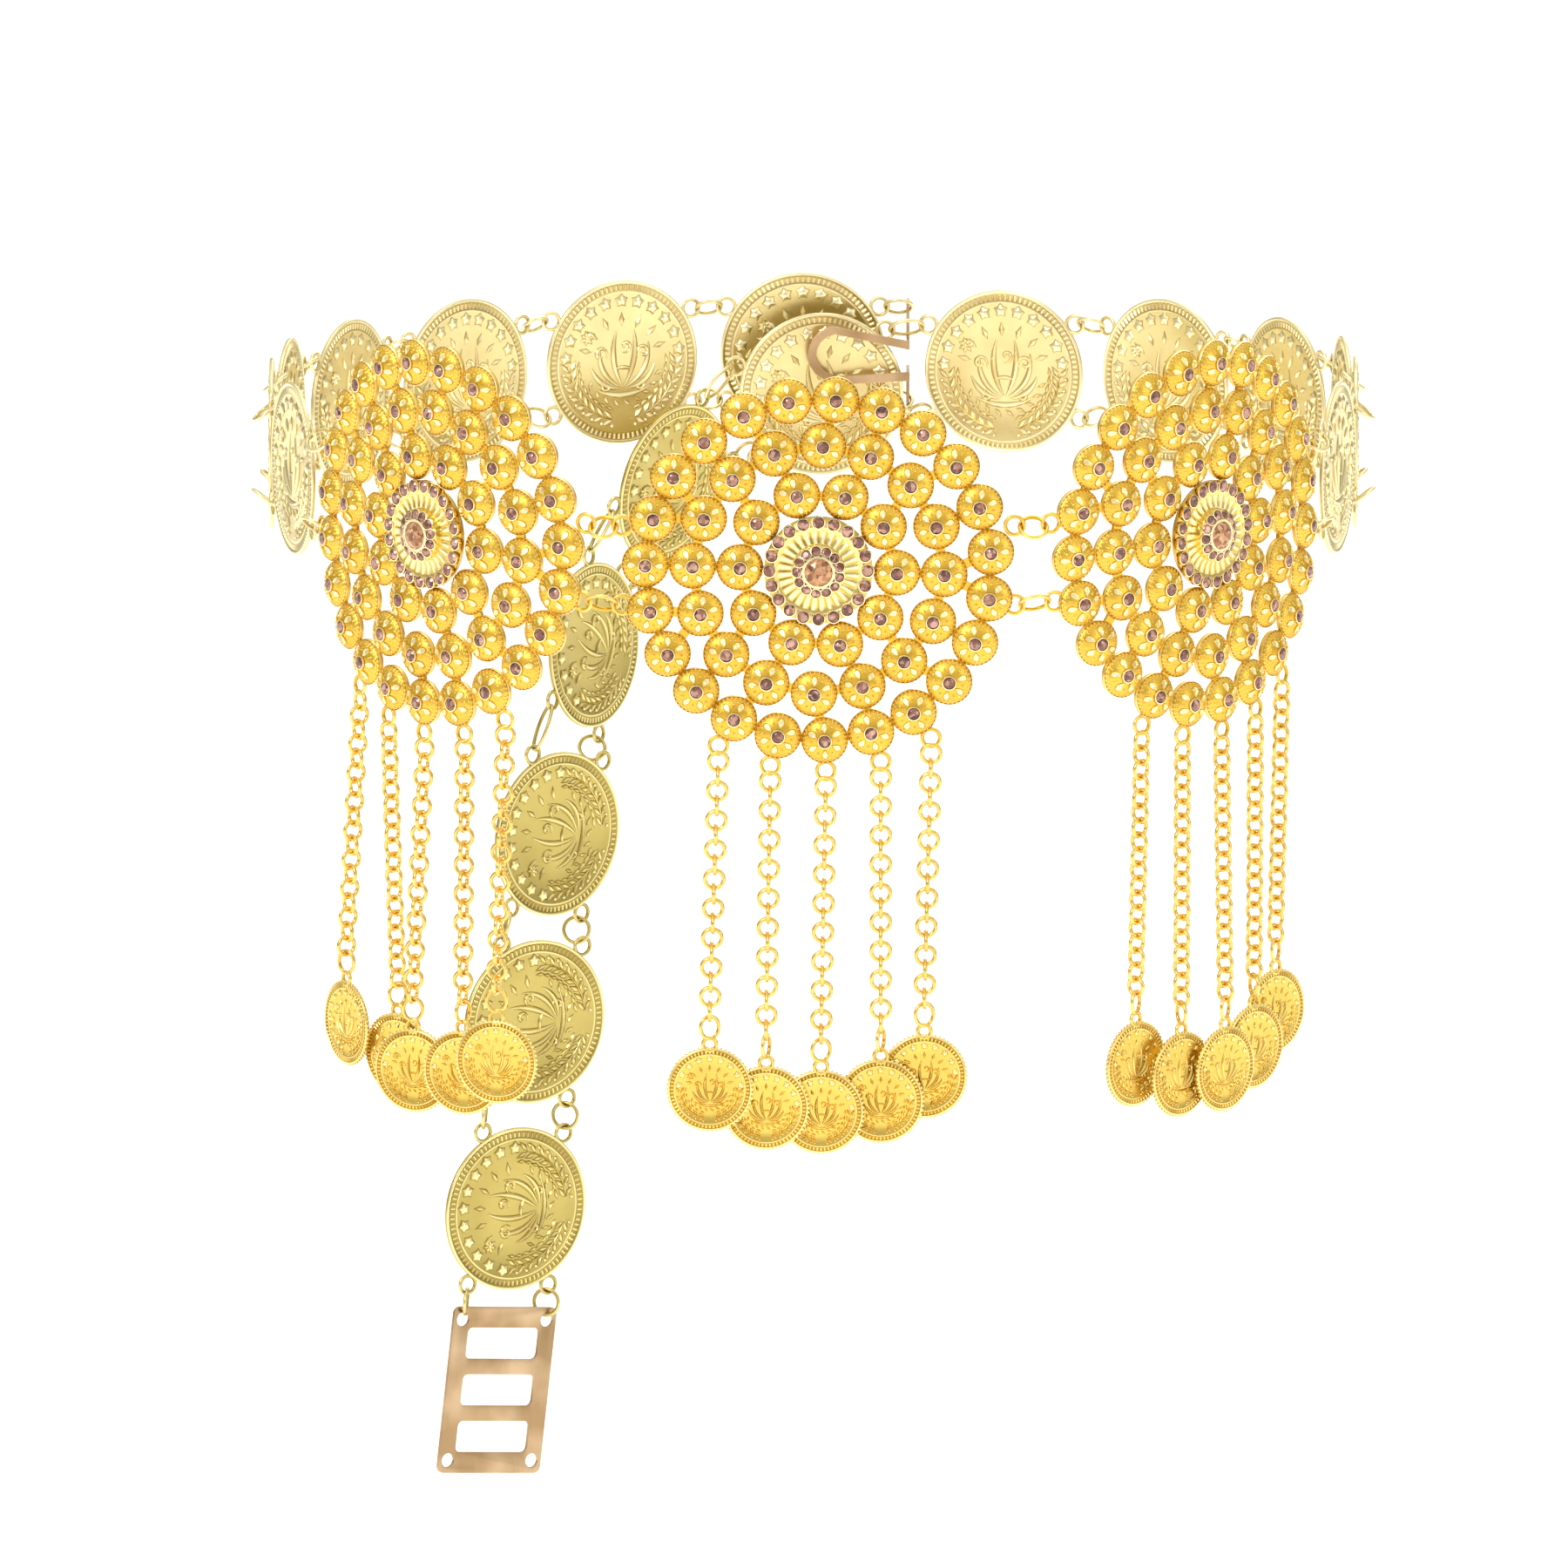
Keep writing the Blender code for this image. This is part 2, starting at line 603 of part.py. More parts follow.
def belt_side(side, rows, rosettes, key, flat, coin_gold):
    """The coins of one side with the ring pairs that join each piece to the next. Returns their frames."""
    end, end_lugs = rosette_end(rosettes[key], side, ROSETTE_BEND)
    frames = walk(side, rows, end)
    names = list(frames)
    near_lugs, near_frame = end_lugs, end
    first_rings = ring_pair(coin_lugs(frames[names[0]], -side), frames[names[0]], end_lugs, end, -side)
    for i, name in enumerate(names):
        if name == "ladder_plate":
            continue
        rings = list(first_rings) if i == 0 else []
        if i + 1 < len(names):
            on = names[i + 1]
            reach = PLATE_NEAR if on == "ladder_plate" else LUG_ALONG
            far_lugs = [frames[on] @ Vector((-side * reach, y, 0.0)) for y in (LUG_ACROSS, -LUG_ACROSS)]
            bunched = rows[i + 1][4] == BUNCHED_LINK
            near = coin_lugs(frames[name], side)
            rings += ring_pair(near, frames[name], far_lugs, frames[on], side, bunched)
        elif key == "left":
            past = frames[name].copy()
            past.translation += along(past, side) * (2 * LUG_ALONG + HOOK_LINK)
            far_lugs = coin_lugs(past, -side)
            rings += ring_pair(coin_lugs(frames[name], side), frames[name], far_lugs, past, side)
        coin(name, flat, frames[name], rings, coin_gold)
    return frames


def front_rings(rosettes):
    """The ring pairs between the front rosette and the side ones, fused to the front rosette's lugs."""
    made = []
    for side, key in ((-1, "left"), (1, "right")):
        near, near_lugs = rosette_end(rosettes["centre"], side, 0.0)
        far, far_lugs = rosette_end(rosettes[key], -side, ROSETTE_BEND)
        made += ring_pair(near_lugs, near, far_lugs, far, side)
    return merged(*made)


def drops(key, frame, bend, gold):
    """The five chains of a rosette and the pendant on each."""
    for number, (k, (sway, layer, turn)) in enumerate(zip(EYELET_BEADS, PENDANTS[key]), 1):
        a = eyelet_angle(k)
        low = EYELET_RING + EYELET_TIP
        level = FITTING_LEVEL + WIRE / 2
        tip = frame @ bent((low * math.cos(a), low * math.sin(a), level), bend)
        eye = frame @ bent((EYELET_RING * math.cos(a), EYELET_RING * math.sin(a), level), bend)
        u, n = frame.col[0].xyz, frame.col[2].xyz
        hang = eye + u * sway + n * (layer * LAYER)
        hang.z = eye.z - CHAIN_DROP + PENDANT_RADIUS + LOOP_LENGTH - LOOP_OVERLAP
        top = tip - Vector((0.0, 0.0, GAP + EYELET_SAG))
        t = math.radians(turn)
        face = Vector((math.cos(t), math.sin(t), 0.0))
        chain(f"chain_{key}_{number}", top, hang + Vector((0.0, 0.0, GAP)), face, gold)
        pendant(f"pendant_{key}_{number}", hang, turn, gold)


def main():
    clear_scene()
    gold = finish("yellow_gold", GOLD, 1.0, 0.28)
    coin_gold = finish("pale_gold", COIN_GOLD, 1.0, 0.3)
    rose = finish("rose_gold", ROSE_GOLD, 1.0, 0.3)
    stone = finish("champagne_stone", STONE, 0.2, 0.1)

    centre = piece_frame(1, 0.0, 0.0, Vector((0.0, FRONT_Y, 0.0)))
    rosettes = {"centre": centre, "left": side_rosette_frame(-1), "right": side_rosette_frame(1)}
    side_flat = flat_rosette("side", gold)
    front_flat = flat_rosette("front", gold, [to_local(front_rings(rosettes), centre)])
    for key, frame in rosettes.items():
        bend = 0.0 if key == "centre" else ROSETTE_BEND
        rosette("rosette_" + key, front_flat if key == "centre" else side_flat, frame, bend)
        medallion("medallion_" + key, frame, stone)
        drops(key, frame, bend, gold)

    flat = flat_coin(coin_gold)
    left = belt_side(-1, LEFT_COINS, rosettes, "left", flat, coin_gold)
    right = belt_side(1, RIGHT_COINS + (PLATE_ROW,), rosettes, "right", flat, coin_gold)
    ladder_plate(right["ladder_plate"], rose)
    hook(left["coin_left_7"], right["coin_right_7"], rose)


main()
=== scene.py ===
"""Looks of the waist chain: struck coins, filigree beads with stones, rolo chains, hook and ladder plate.

The tables of coins and pendants and the placing functions are in millimetres and repeat the part's own, so
each piece stands on its solid. Sheet, strip and slots differ from the solids' by a few tenths.
A belt piece's own axes are u along the belt, v up its face and n out of the ring.
"""

import json
import math

import bmesh
import bpy
from mathutils import Matrix, Vector

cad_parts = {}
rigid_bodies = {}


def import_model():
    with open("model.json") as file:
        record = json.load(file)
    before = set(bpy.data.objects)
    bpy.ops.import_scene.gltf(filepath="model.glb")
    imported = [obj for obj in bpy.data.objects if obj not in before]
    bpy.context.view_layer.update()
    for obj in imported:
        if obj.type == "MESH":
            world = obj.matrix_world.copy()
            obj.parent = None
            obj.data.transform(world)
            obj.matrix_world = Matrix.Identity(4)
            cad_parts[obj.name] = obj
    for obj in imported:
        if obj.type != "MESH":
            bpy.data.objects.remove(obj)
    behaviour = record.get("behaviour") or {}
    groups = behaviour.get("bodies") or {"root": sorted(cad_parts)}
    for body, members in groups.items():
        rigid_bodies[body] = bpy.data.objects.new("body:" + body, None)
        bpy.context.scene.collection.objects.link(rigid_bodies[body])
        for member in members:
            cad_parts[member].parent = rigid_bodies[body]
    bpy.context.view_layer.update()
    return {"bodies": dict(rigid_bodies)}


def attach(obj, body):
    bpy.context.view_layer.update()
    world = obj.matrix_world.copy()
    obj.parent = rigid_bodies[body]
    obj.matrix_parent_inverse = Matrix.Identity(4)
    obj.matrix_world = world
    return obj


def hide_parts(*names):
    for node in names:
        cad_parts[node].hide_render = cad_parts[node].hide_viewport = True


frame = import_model()

MM = 0.001
FRONT_Y = -160.0

# Coins
COIN_RADIUS = 23.0
FIELD_LEVEL = 0.34
RIM_LEVEL = 0.6
LUG_ALONG = 21.4
LUG_ACROSS = 13.35
LUG_RADIUS = 2.45
WIRE = 1.1
LINK_LENGTH = 9.9
HOOK_LINK = 10.5
SLACK_LINK = 11.5
BUNCHED_LINK = 7.2
RING_RADIUS = 3.6
RING_TURN = 38.0
RING_SEAT = 1.35
SHORTEST_RING = 1.6

# Relief of a coin
STAR_RING = 17.4
WREATH = 16.3
FLOWER = (-10.6, 7.6)

# Rosettes
BEAD_RADIUS = 6.1
BEAD_SPAN = 13.7
BEAD_STONE = 1.62
BEAD_SEAT = 1.6
STONE_LIFT = 0.1
DOME_BASE = 0.35
DOME_RISE = 3.45
DOME_REACH = 6.4
TAB_HALF_WIDTH = 1.25
TAB_HALF_LENGTH = 1.5
TAB_LEVELS = (0.25, 1.3)
PETALS = 6
PETAL = (  # distance out, half width
    (2.15, 0.0),
    (2.7, 0.42),
    (3.4, 0.8),
    (4.1, 0.88),
    (4.65, 0.55),
    (4.85, 0.0),
)
PETAL_MIDDLE = 3.7
GRAIN = 0.42
GRAIN_ROWS = (  # grains, distance out, first one in steps
    (6, 3.5, 0.5),
    (6, 4.1, 0.5),
    (12, 4.7, 0.5),
    (28, 5.2, 0.0),
    (31, 5.65, 0.5),
)
BEAD_RINGS = (  # beads, ring radius, angle of the first bead
    (10, 20.4, -2.0),
    (16, 32.7, -2.0),
    (23, 45.0, 6.0),
)
ROSETTE_BEND = 145.0
LUG_REACH = 50.9
LUG_LEVEL = 0.7
ROSETTE_LUGS = (11.6, -9.2)
EYELET_RING = 53.3
EYELET_RADIUS = 2.35
EYELET_BEADS = (15, 16, 17, 18, 19)
OUTER_STONES = (20, 12.75, 2.95, 1.55)  # stones, ring radius, height, stone radius
INNER_STONES = (13, 5.55, 4.9, 1.3)
INNER_LEAN = 0.42
CENTRE_STONE = 3.7
STONE_SHARP = 5.0
CENTRE_HEIGHT = 5.35
FLUTES = 28
FLUTE_LIFTS = (0.0, 0.3, 0.05)
# Painted shade in each flute's hollow and painted highlight on its crest
FLUTE_TONES = (0.12, 1.0, 0.75)

# Chains and pendants
LINK_RADIUS = 2.45
LINK_WIRE = 0.58
LINK_PITCH = 3.8
BOTTOM_RING = 3.0
PENDANT_RADIUS = 11.0
PIVOT_RISE = 0.6
CHAIN_DROP = 90.7
PENDANT_ABOVE = 3.2
LAYER = 1.75
LOOP_LENGTH = 4.0
LOOP_RADIUS = 1.75
CHAIN_WIRE = 0.55
CHAIN_TONE = 0.6
CHAIN_STEPS = 20
CHAIN_SIDES = 7
FEWEST_LINKS = 4
CHAIN_START = 4.2
LINK_OVERLAP = 1.0
LAST_OVERLAP = 0.9
LAST_SEAT = 0.75
LAST_SQUEEZE = (0.84, 1.0)
LAST_TURNS = (1.2, 0.35)

# Ladder plate and hook
PLATE_LENGTH = 47.0
PLATE_WIDTH = 34.0
PLATE_NEAR = 19.9
PLATE_ACROSS = 13.9
PLATE_HOLE = 2.0
SLOT_LENGTH = 8.8
SLOT_WIDTH = 23.6
SLOT_PITCH = 13.2
SHEET = 1.0
PLATE_EDGE = 0.12
PLATE_CORNER = 2.0
SLOT_CORNER = 1.5
HOOK_STRIP = 2.5
HOOK_SHEET = 0.9
HOOK_POST_INSET = 2.55
HOOK_POST_END = 2.2
HOOK_HIGH = 4.2
HOOK_LOW = -4.6
HOOK_FORWARD = 3.4
HOOK_BOW = (  # x, and height from the upper arm
    (4.9, 4.3),
    (2.1, 3.2),
    (0.2, 1.4),
    (-0.9, -0.9),
    (-1.2, -2.8),
    (-0.7, -5.0),
    (0.9, -7.4),
    (4.9, -10.0),
)
HOOK_BOW_MIDDLE = (8.0, -2.8)
HOOK_EDGE = 0.15

SIDE_ROSETTE = {"heading": 46.0, "slope": 4.0}
LEFT_COINS = (  # name, heading, slope, tilt of the face, link length to the piece before it
    ("coin_left_1", 74.5, -1.0, 0.0, LINK_LENGTH),
    ("coin_left_2", 89.0, -3.0, 0.0, BUNCHED_LINK),
    ("coin_left_3", 98.0, -4.0, 0.0, LINK_LENGTH),
    ("coin_left_4", 116.0, -2.5, 0.0, LINK_LENGTH),
    ("coin_left_5", 136.5, 0.0, 0.0, LINK_LENGTH),
    ("coin_left_6", 155.0, 1.0, 0.0, LINK_LENGTH),
    ("coin_left_7", 180.0, 0.0, 0.0, LINK_LENGTH),
)
RIGHT_COINS = (
    ("coin_right_1", 77.0, -0.5, 0.0, LINK_LENGTH),
    ("coin_right_2", 88.5, -3.0, 0.0, BUNCHED_LINK),
    ("coin_right_3", 95.0, -4.0, 0.0, LINK_LENGTH),
    ("coin_right_4", 117.5, -2.5, 0.0, LINK_LENGTH),
    ("coin_right_5", 137.0, -1.0, 0.0, LINK_LENGTH),
    ("coin_right_6", 162.0, -3.0, 0.0, LINK_LENGTH),
    ("coin_right_7", 184.0, -13.0, 0.0, LINK_LENGTH),
    ("coin_tail_1", 223.0, -38.5, -12.0, LINK_LENGTH),
    ("coin_tail_2", 242.0, -60.5, 4.0, SLACK_LINK),
    ("coin_tail_3", 223.0, -79.0, 0.0, SLACK_LINK),
    ("coin_tail_4", 213.5, -83.0, 0.0, LINK_LENGTH),
    ("coin_tail_5", 213.5, -83.0, 0.0, LINK_LENGTH),
)
PLATE_ROW = ("ladder_plate", 213.5, -82.5, 0.0, LINK_LENGTH)
PENDANTS = {  # sway along the belt, layers outwards, turn of the face from straight ahead
    "left": ((-2.0, 2, -58.0), (3.0, 0, -40.0), (-3.0, 1, -25.0), (-1.0, 0, -22.0), (0.0, 2, -18.0)),
    "centre": ((-2.3, 2, 0.0), (-1.1, 1, 0.0), (-1.2, 0, 0.0), (0.1, -1, 0.0), (-1.6, -2, 0.0)),
    "right": ((0.0, -1, 46.0), (0.0, 0, 46.0), (0.0, 1, 46.0), (0.0, 0, 46.0), (0.0, -1, 46.0)),
}

# Tone of a metal surface, painted light and shade: how deep in painted shade a groove lies, the plain field
# and the painted highlight on raised tops
GROOVE = 0.0
FIELD = 0.5
BRIGHT = 1.0
WIRE_SHADE = 0.25
WIRE_SIDES = 8


# Placing


def piece_frame(side, heading, slope, place, tilt=0.0):
    """Axes u, v, n of a belt piece. side is 1 right and -1 left, where the belt runs along -u."""
    h, s = math.radians(heading), math.radians(slope)
    u = Vector((math.cos(h) * math.cos(s), side * math.sin(h) * math.cos(s), side * math.sin(s)))
    n = Matrix.Rotation(math.radians(tilt), 3, u) @ Vector((side * math.sin(h), -math.cos(h), 0.0))
    placed = Matrix((u, n.cross(u), n)).transposed().to_4x4()
    placed.translation = place
    return placed


def along(placed, side):
    return placed.col[0].xyz * side


def bent(point, radius):
    """A point of a flat rosette, wrapped round the waist."""
    x, y, z = point
    if not radius:
        return Vector(point)
    angle = x / radius
    return Vector(((radius + z) * math.sin(angle), y, (radius + z) * math.cos(angle) - radius))


def side_rosette_frame(side):
    near = math.radians(SIDE_ROSETTE["heading"]) - LUG_REACH / ROSETTE_BEND
    slope = math.radians(SIDE_ROSETTE["slope"])
    run = Vector((math.cos(near / 2), math.sin(near / 2), math.sin(slope / 2)))
    placed = piece_frame(side, SIDE_ROSETTE["heading"], SIDE_ROSETTE["slope"], Vector())
    start = Vector((LUG_REACH, FRONT_Y, 0.0)) + run * LINK_LENGTH
    start.x *= side
    placed.translation = start - placed.to_3x3() @ bent((-side * LUG_REACH, 0.0, 0.0), ROSETTE_BEND)
    return placed


def rosette_end(placed, end, bend):
    """Frame at a rosette's side lugs, and the two lug holes. end is 1 at +u."""
    turn = Matrix.Rotation(LUG_REACH / bend * end, 4, "Y") if bend else Matrix.Identity(4)
    lugs = [placed @ bent((end * LUG_REACH, across, LUG_LEVEL), bend) for across in ROSETTE_LUGS]
    at_end = placed @ turn
    at_end.translation = (lugs[0] + lugs[1]) / 2
    return at_end, lugs


def lug_holes(placed, end, reach=LUG_ALONG):
    return [placed @ Vector((end * reach, y, 0.0)) for y in (LUG_ACROSS, -LUG_ACROSS)]


def walk(side, rows, end_frame):
    """Frames of the coins of one side, each one link on from the piece before it."""
    frames = {}
    before, place = end_frame, end_frame.translation.copy()
    for name, heading, slope, tilt, link in rows:
        placed = piece_frame(side, heading, slope, Vector(), tilt)
        run = (along(before, side) + along(placed, side)).normalized()
        place = place + run * link
        reach = PLATE_NEAR if name == "ladder_plate" else LUG_ALONG
        placed.translation = place + along(placed, side) * reach
        place = placed.translation + along(placed, side) * reach
        frames[name] = placed
        before = placed
    return frames


def polar(radius, angle, height=0.0):
    return Vector((radius * math.cos(angle), radius * math.sin(angle), height))


# Shapes: each is a list of points with its tones, and a list of faces


class Shape:
    """Points in millimetres with a tone each, and faces that index them."""

    def __init__(self):
        self.points = []
        self.tones = []
        self.faces = []

    def add(self, points, faces, tones):
        start = len(self.points)
        self.points += [Vector(p) for p in points]
        self.tones += list(tones) if hasattr(tones, "__iter__") else [tones] * len(points)
        self.faces += [tuple(start + i for i in face) for face in faces]

    def put(self, other, placed=Matrix.Identity(4)):
        """Adds another shape, moved by a matrix. A mirrored one has its faces turned back."""
        mirrored = placed.determinant() < 0
        faces = [tuple(reversed(face)) for face in other.faces] if mirrored else other.faces
        self.add([placed @ p for p in other.points], faces, other.tones)

def circle(radius, height, count, first=0.0):
    return [polar(radius, 2 * math.pi * (k + first) / count, height) for k in range(count)]


def turned_faces(rows, segments):
    """Faces of a closed turned body, whose points are its top, its rows from there down and its bottom."""
    last = 1 + (rows - 1) * segments
    faces = []
    for k in range(segments):
        j = (k + 1) % segments
        faces.append((0, 1 + k, 1 + j))
        for row in range(rows - 1):
            a, b = 1 + row * segments, 1 + (row + 1) * segments
            faces.append((a + k, b + k, b + j, a + j))
        faces.append((last + j, last + k, last + segments))
    return faces


def lathe(profile, segments, tones):
    """A closed turned body. Its profile runs from the top's middle to the bottom's, a tone to each row."""
    shape = Shape()
    points = [Vector((0.0, 0.0, profile[0][1]))]
    point_tones = [tones[0]]
    for (radius, height), tone in zip(profile[1:-1], tones[1:-1]):
        points += circle(radius, height, segments)
        point_tones += [tone] * segments
    points.append(Vector((0.0, 0.0, profile[-1][1])))
    point_tones.append(tones[-1])
    shape.add(points, turned_faces(len(profile) - 2, segments), point_tones)
    return shape


def wire_ring(radius, wire, around, squeeze=(1.0, 1.0)):
    """A ring of round wire in the XY plane. squeeze scales its two half-axes."""
    shape = Shape()
    sides = WIRE_SIDES
    points, faces, tones = [], [], []
    for i in range(around):
        a = 2 * math.pi * i / around
        out = Vector((math.cos(a), math.sin(a), 0.0))
        centre = Vector((radius * squeeze[0] * out.x, radius * squeeze[1] * out.y, 0.0))
        for k in range(sides):
            b = 2 * math.pi * k / sides
            points.append(centre + out * (wire * math.cos(b)) + Vector((0.0, 0.0, wire * math.sin(b))))
            # Painted highlight on the wire's outer side and painted shade on its inner side
            tones.append(FIELD + WIRE_SHADE * math.cos(b))
    for i in range(around):
        for k in range(sides):
            j, m = (i + 1) % around, (k + 1) % sides
            faces.append((i * sides + k, j * sides + k, j * sides + m, i * sides + m))
    shape.add(points, faces, tones)
    return shape


def ridge(path, width, height, level):
    """A struck line along a flat path: it rises to a crest and tapers to nothing at its two ends."""
    shape = Shape()
    points, faces, tones = [], [], []
    last = len(path) - 1
    for i, (x, y) in enumerate(path):
        before, after = path[max(i - 1, 0)], path[min(i + 1, last)]
        run = Vector((after[0] - before[0], after[1] - before[1], 0.0)).normalized()
        side = Vector((-run.y, run.x, 0.0))
        swell = max(math.sin(math.pi * (0.08 + 0.84 * i / last)), 0.1)
        place = Vector((x, y, level))
        points += [
            place + side * (width / 2 * swell),
            place + Vector((0.0, 0.0, height * swell)),
            place - side * (width / 2 * swell),
        ]
        # Painted shade at the foot of the line and painted highlight on its crest
        tones += [GROOVE, BRIGHT, GROOVE]
    for i in range(last):
        a, b = 3 * i, 3 * i + 3
        faces += [(a, a + 1, b + 1, b), (a + 1, a + 2, b + 2, b + 1)]
    faces += [(2, 1, 0), (3 * last, 3 * last + 1, 3 * last + 2)]
    for i in range(last):
        faces.append((3 * i, 3 * i + 3, 3 * i + 5, 3 * i + 2))
    shape.add(points, faces, tones)
    return shape


def boss(radii, height, level):
    """A low struck form: its outline from a list of radii round a raised middle."""
    shape = Shape()
    count = len(radii)
    turns = [2 * math.pi * k / count + math.pi / 2 for k in range(count)]
    points = [polar(r, a, level) for r, a in zip(radii, turns)]
    inner = [polar(r * 0.55, a, level + height * 0.85) for r, a in zip(radii, turns)]
    faces = [(k, (k + 1) % count, count + (k + 1) % count, count + k) for k in range(count)]
    faces += [(count + k, count + (k + 1) % count, 2 * count) for k in range(count)]
    faces.append(tuple(range(count - 1, -1, -1)))
    top = [Vector((0.0, 0.0, level + height))]
    # Painted shade round its foot and painted highlight on its raised middle
    shape.add(points + inner + top, faces, [GROOVE] * count + [BRIGHT] * count + [BRIGHT])
    return shape


def leaf(level, length, width, height):
    """A pointed leaf with a raised rib, growing along +X from the origin."""
    shape = Shape()
    points = [(0.0, 0.0, level), (length * 0.45, width / 2, level), (length, 0.0, level)]
    points += [(length * 0.45, -width / 2, level), (length * 0.2, 0.0, level + height * 0.8)]
    points += [(length * 0.6, 0.0, level + height)]
    faces = [(0, 4, 1), (1, 4, 5), (1, 5, 2), (2, 5, 3), (3, 5, 4), (3, 4, 0), (0, 1, 2, 3)]
    # Painted shade round its edge and painted highlight on its rib
    shape.add(points, [tuple(reversed(f)) for f in faces], [GROOVE] * 4 + [BRIGHT] * 2)
    return shape


def at(x, y, angle=0.0):
    return Matrix.Translation((x, y, 0.0)) @ Matrix.Rotation(angle, 4, "Z")


def scroll(cx, cy, start, turns, radius, hand):
    """Points of a spiral that closes in on (cx, cy)."""
    steps = 12
    path = []
    for i in range(steps + 1):
        t = i / steps
        a = start + hand * turns * 2 * math.pi * t
        r = radius * (1.0 - 0.78 * t)
        path.append((cx + r * math.cos(a), cy + r * math.sin(a)))
    return path


def arc_path(x0, y0, x1, y1, bulge, steps=10):
    """Points of a bowed line between two places. bulge is how far its middle stands off to the left."""
    run = Vector((x1 - x0, y1 - y0))
    side = Vector((-run.y, run.x)).normalized()
    path = []
    for i in range(steps + 1):
        t = i / steps
        p = Vector((x0, y0)) + run * t + side * (bulge * 4 * t * (1 - t))
        path.append((p.x, p.y))
    return path


def struck_design(level, stars, leaves, height):
    """A generic coin design at full size: stars over a leafy wreath, a fan of sprays and a small flower."""
    shape = Shape()
    star = boss([2.2 if k % 2 == 0 else 1.45 for k in range(10)], height, level)
    for k in range(stars):
        a = math.radians(8.0 + 164.0 * k / (stars - 1))
        shape.put(star, at(STAR_RING * math.cos(a), STAR_RING * math.sin(a), a - math.pi / 2))
    blade = leaf(level, 4.3, 1.75, height)
    small_blade = leaf(level, 3.2, 1.3, height)
    berry = boss([0.62] * 6, height, level)
    for hand in (-1, 1):
        bends = [0.12 + 1.35 * i / 16 for i in range(17)]
        stem = [(WREATH * math.sin(hand * t), -WREATH * math.cos(t)) for t in bends]
        shape.put(ridge(stem, 0.7, height * 0.7, level))
        for k in range(leaves):
            t = 0.2 + 1.25 * k / (leaves - 1)
            x, y = WREATH * math.sin(hand * t), -WREATH * math.cos(t)
            on = math.atan2(math.sin(t), hand * math.cos(t))
            shape.put(blade, at(x, y, on + 0.62))
            shape.put(blade, at(x, y, on - 0.62))
            shape.put(small_blade, at(x * 0.84, y * 0.84, on + hand * 0.25))
            shape.put(berry, at(x * 1.115, y * 1.115))
    sprays = (
        (arc_path(-1.5, -7.5, -9.5, -1.0, 1.6), 1.8),
        (arc_path(-0.8, -7.0, -6.8, 5.0, 2.4), 1.8),
        (arc_path(-0.2, -6.8, -1.6, 9.2, 1.8), 1.9),
        (arc_path(0.4, -6.8, 3.6, 9.0, -1.6), 1.9),
        (arc_path(1.0, -7.0, 8.0, 5.2, -2.4), 1.8),
        (arc_path(1.6, -7.5, 9.8, -1.2, -1.6), 1.8),
        (arc_path(-3.0, -2.2, 3.4, -2.6, 0.9), 1.3),
        (arc_path(-8.6, -7.0, 8.6, -7.2, -2.2, 14), 1.7),
        (scroll(-6.6, 2.6, -0.6, 1.1, 2.2, 1), 1.3),
        (scroll(6.4, 2.4, 3.7, 1.1, 2.2, -1), 1.3),
        (scroll(1.0, 4.4, 4.2, 1.0, 1.9, 1), 1.2),
        (scroll(-5.0, -6.6, 1.6, 0.9, 1.7, 1), 1.2),
        (scroll(5.0, -6.8, 1.5, 0.9, 1.7, -1), 1.2),
    )
    for path, width in sprays:
        shape.put(ridge(path, width, height * 1.1, level))
    for k in range(7):
        a = math.radians(15.0 + 25.0 * k)
        shape.put(blade, at(9.6 * math.cos(a), 1.2 + 8.8 * math.sin(a), a))
    for k in range(9):
        a = math.radians(205.0 + 16.25 * k)
        shape.put(small_blade, at(10.6 * math.cos(a), 10.6 * math.sin(a), a + 0.9))
    petal = leaf(level, 2.4, 1.6, height)
    for k in range(7):
        shape.put(petal, at(*FLOWER, 2 * math.pi * k / 7))
    shape.put(boss([0.6] * 7, height * 1.3, level), at(*FLOWER))
    return shape


def milled_bars(radius, count, length, width, level, height):
    """The ring of short bars just inside a coin's rim."""
    bar = Shape()
    half = length / 2
    points = [(-half, -width / 2, level), (half, -width / 2, level), (half, width / 2, level)]
    points.append((-half, width / 2, level))
    points += [(-half * 0.7, 0.0, level + height), (half * 0.7, 0.0, level + height)]
    faces = [(0, 1, 5, 4), (1, 2, 5), (2, 3, 4, 5), (3, 0, 4), (3, 2, 1, 0)]
    # Painted shade at the foot of each bar and painted highlight on its top
    bar.add(points, faces, [0.2] * 4 + [BRIGHT] * 2)
    shape = Shape()
    for k in range(count):
        turn = Matrix.Rotation(2 * math.pi * k / count, 4, "Z")
        shape.put(bar, turn @ Matrix.Translation((radius, 0.0, 0.0)))
    return shape


def both_faces(disc, face):
    """A disc struck on both faces. The design on the back is turned about v, to stand upright there."""
    shape = Shape()
    shape.put(disc)
    shape.put(face)
    shape.put(face, Matrix.Rotation(math.pi, 4, "Y"))
    return shape


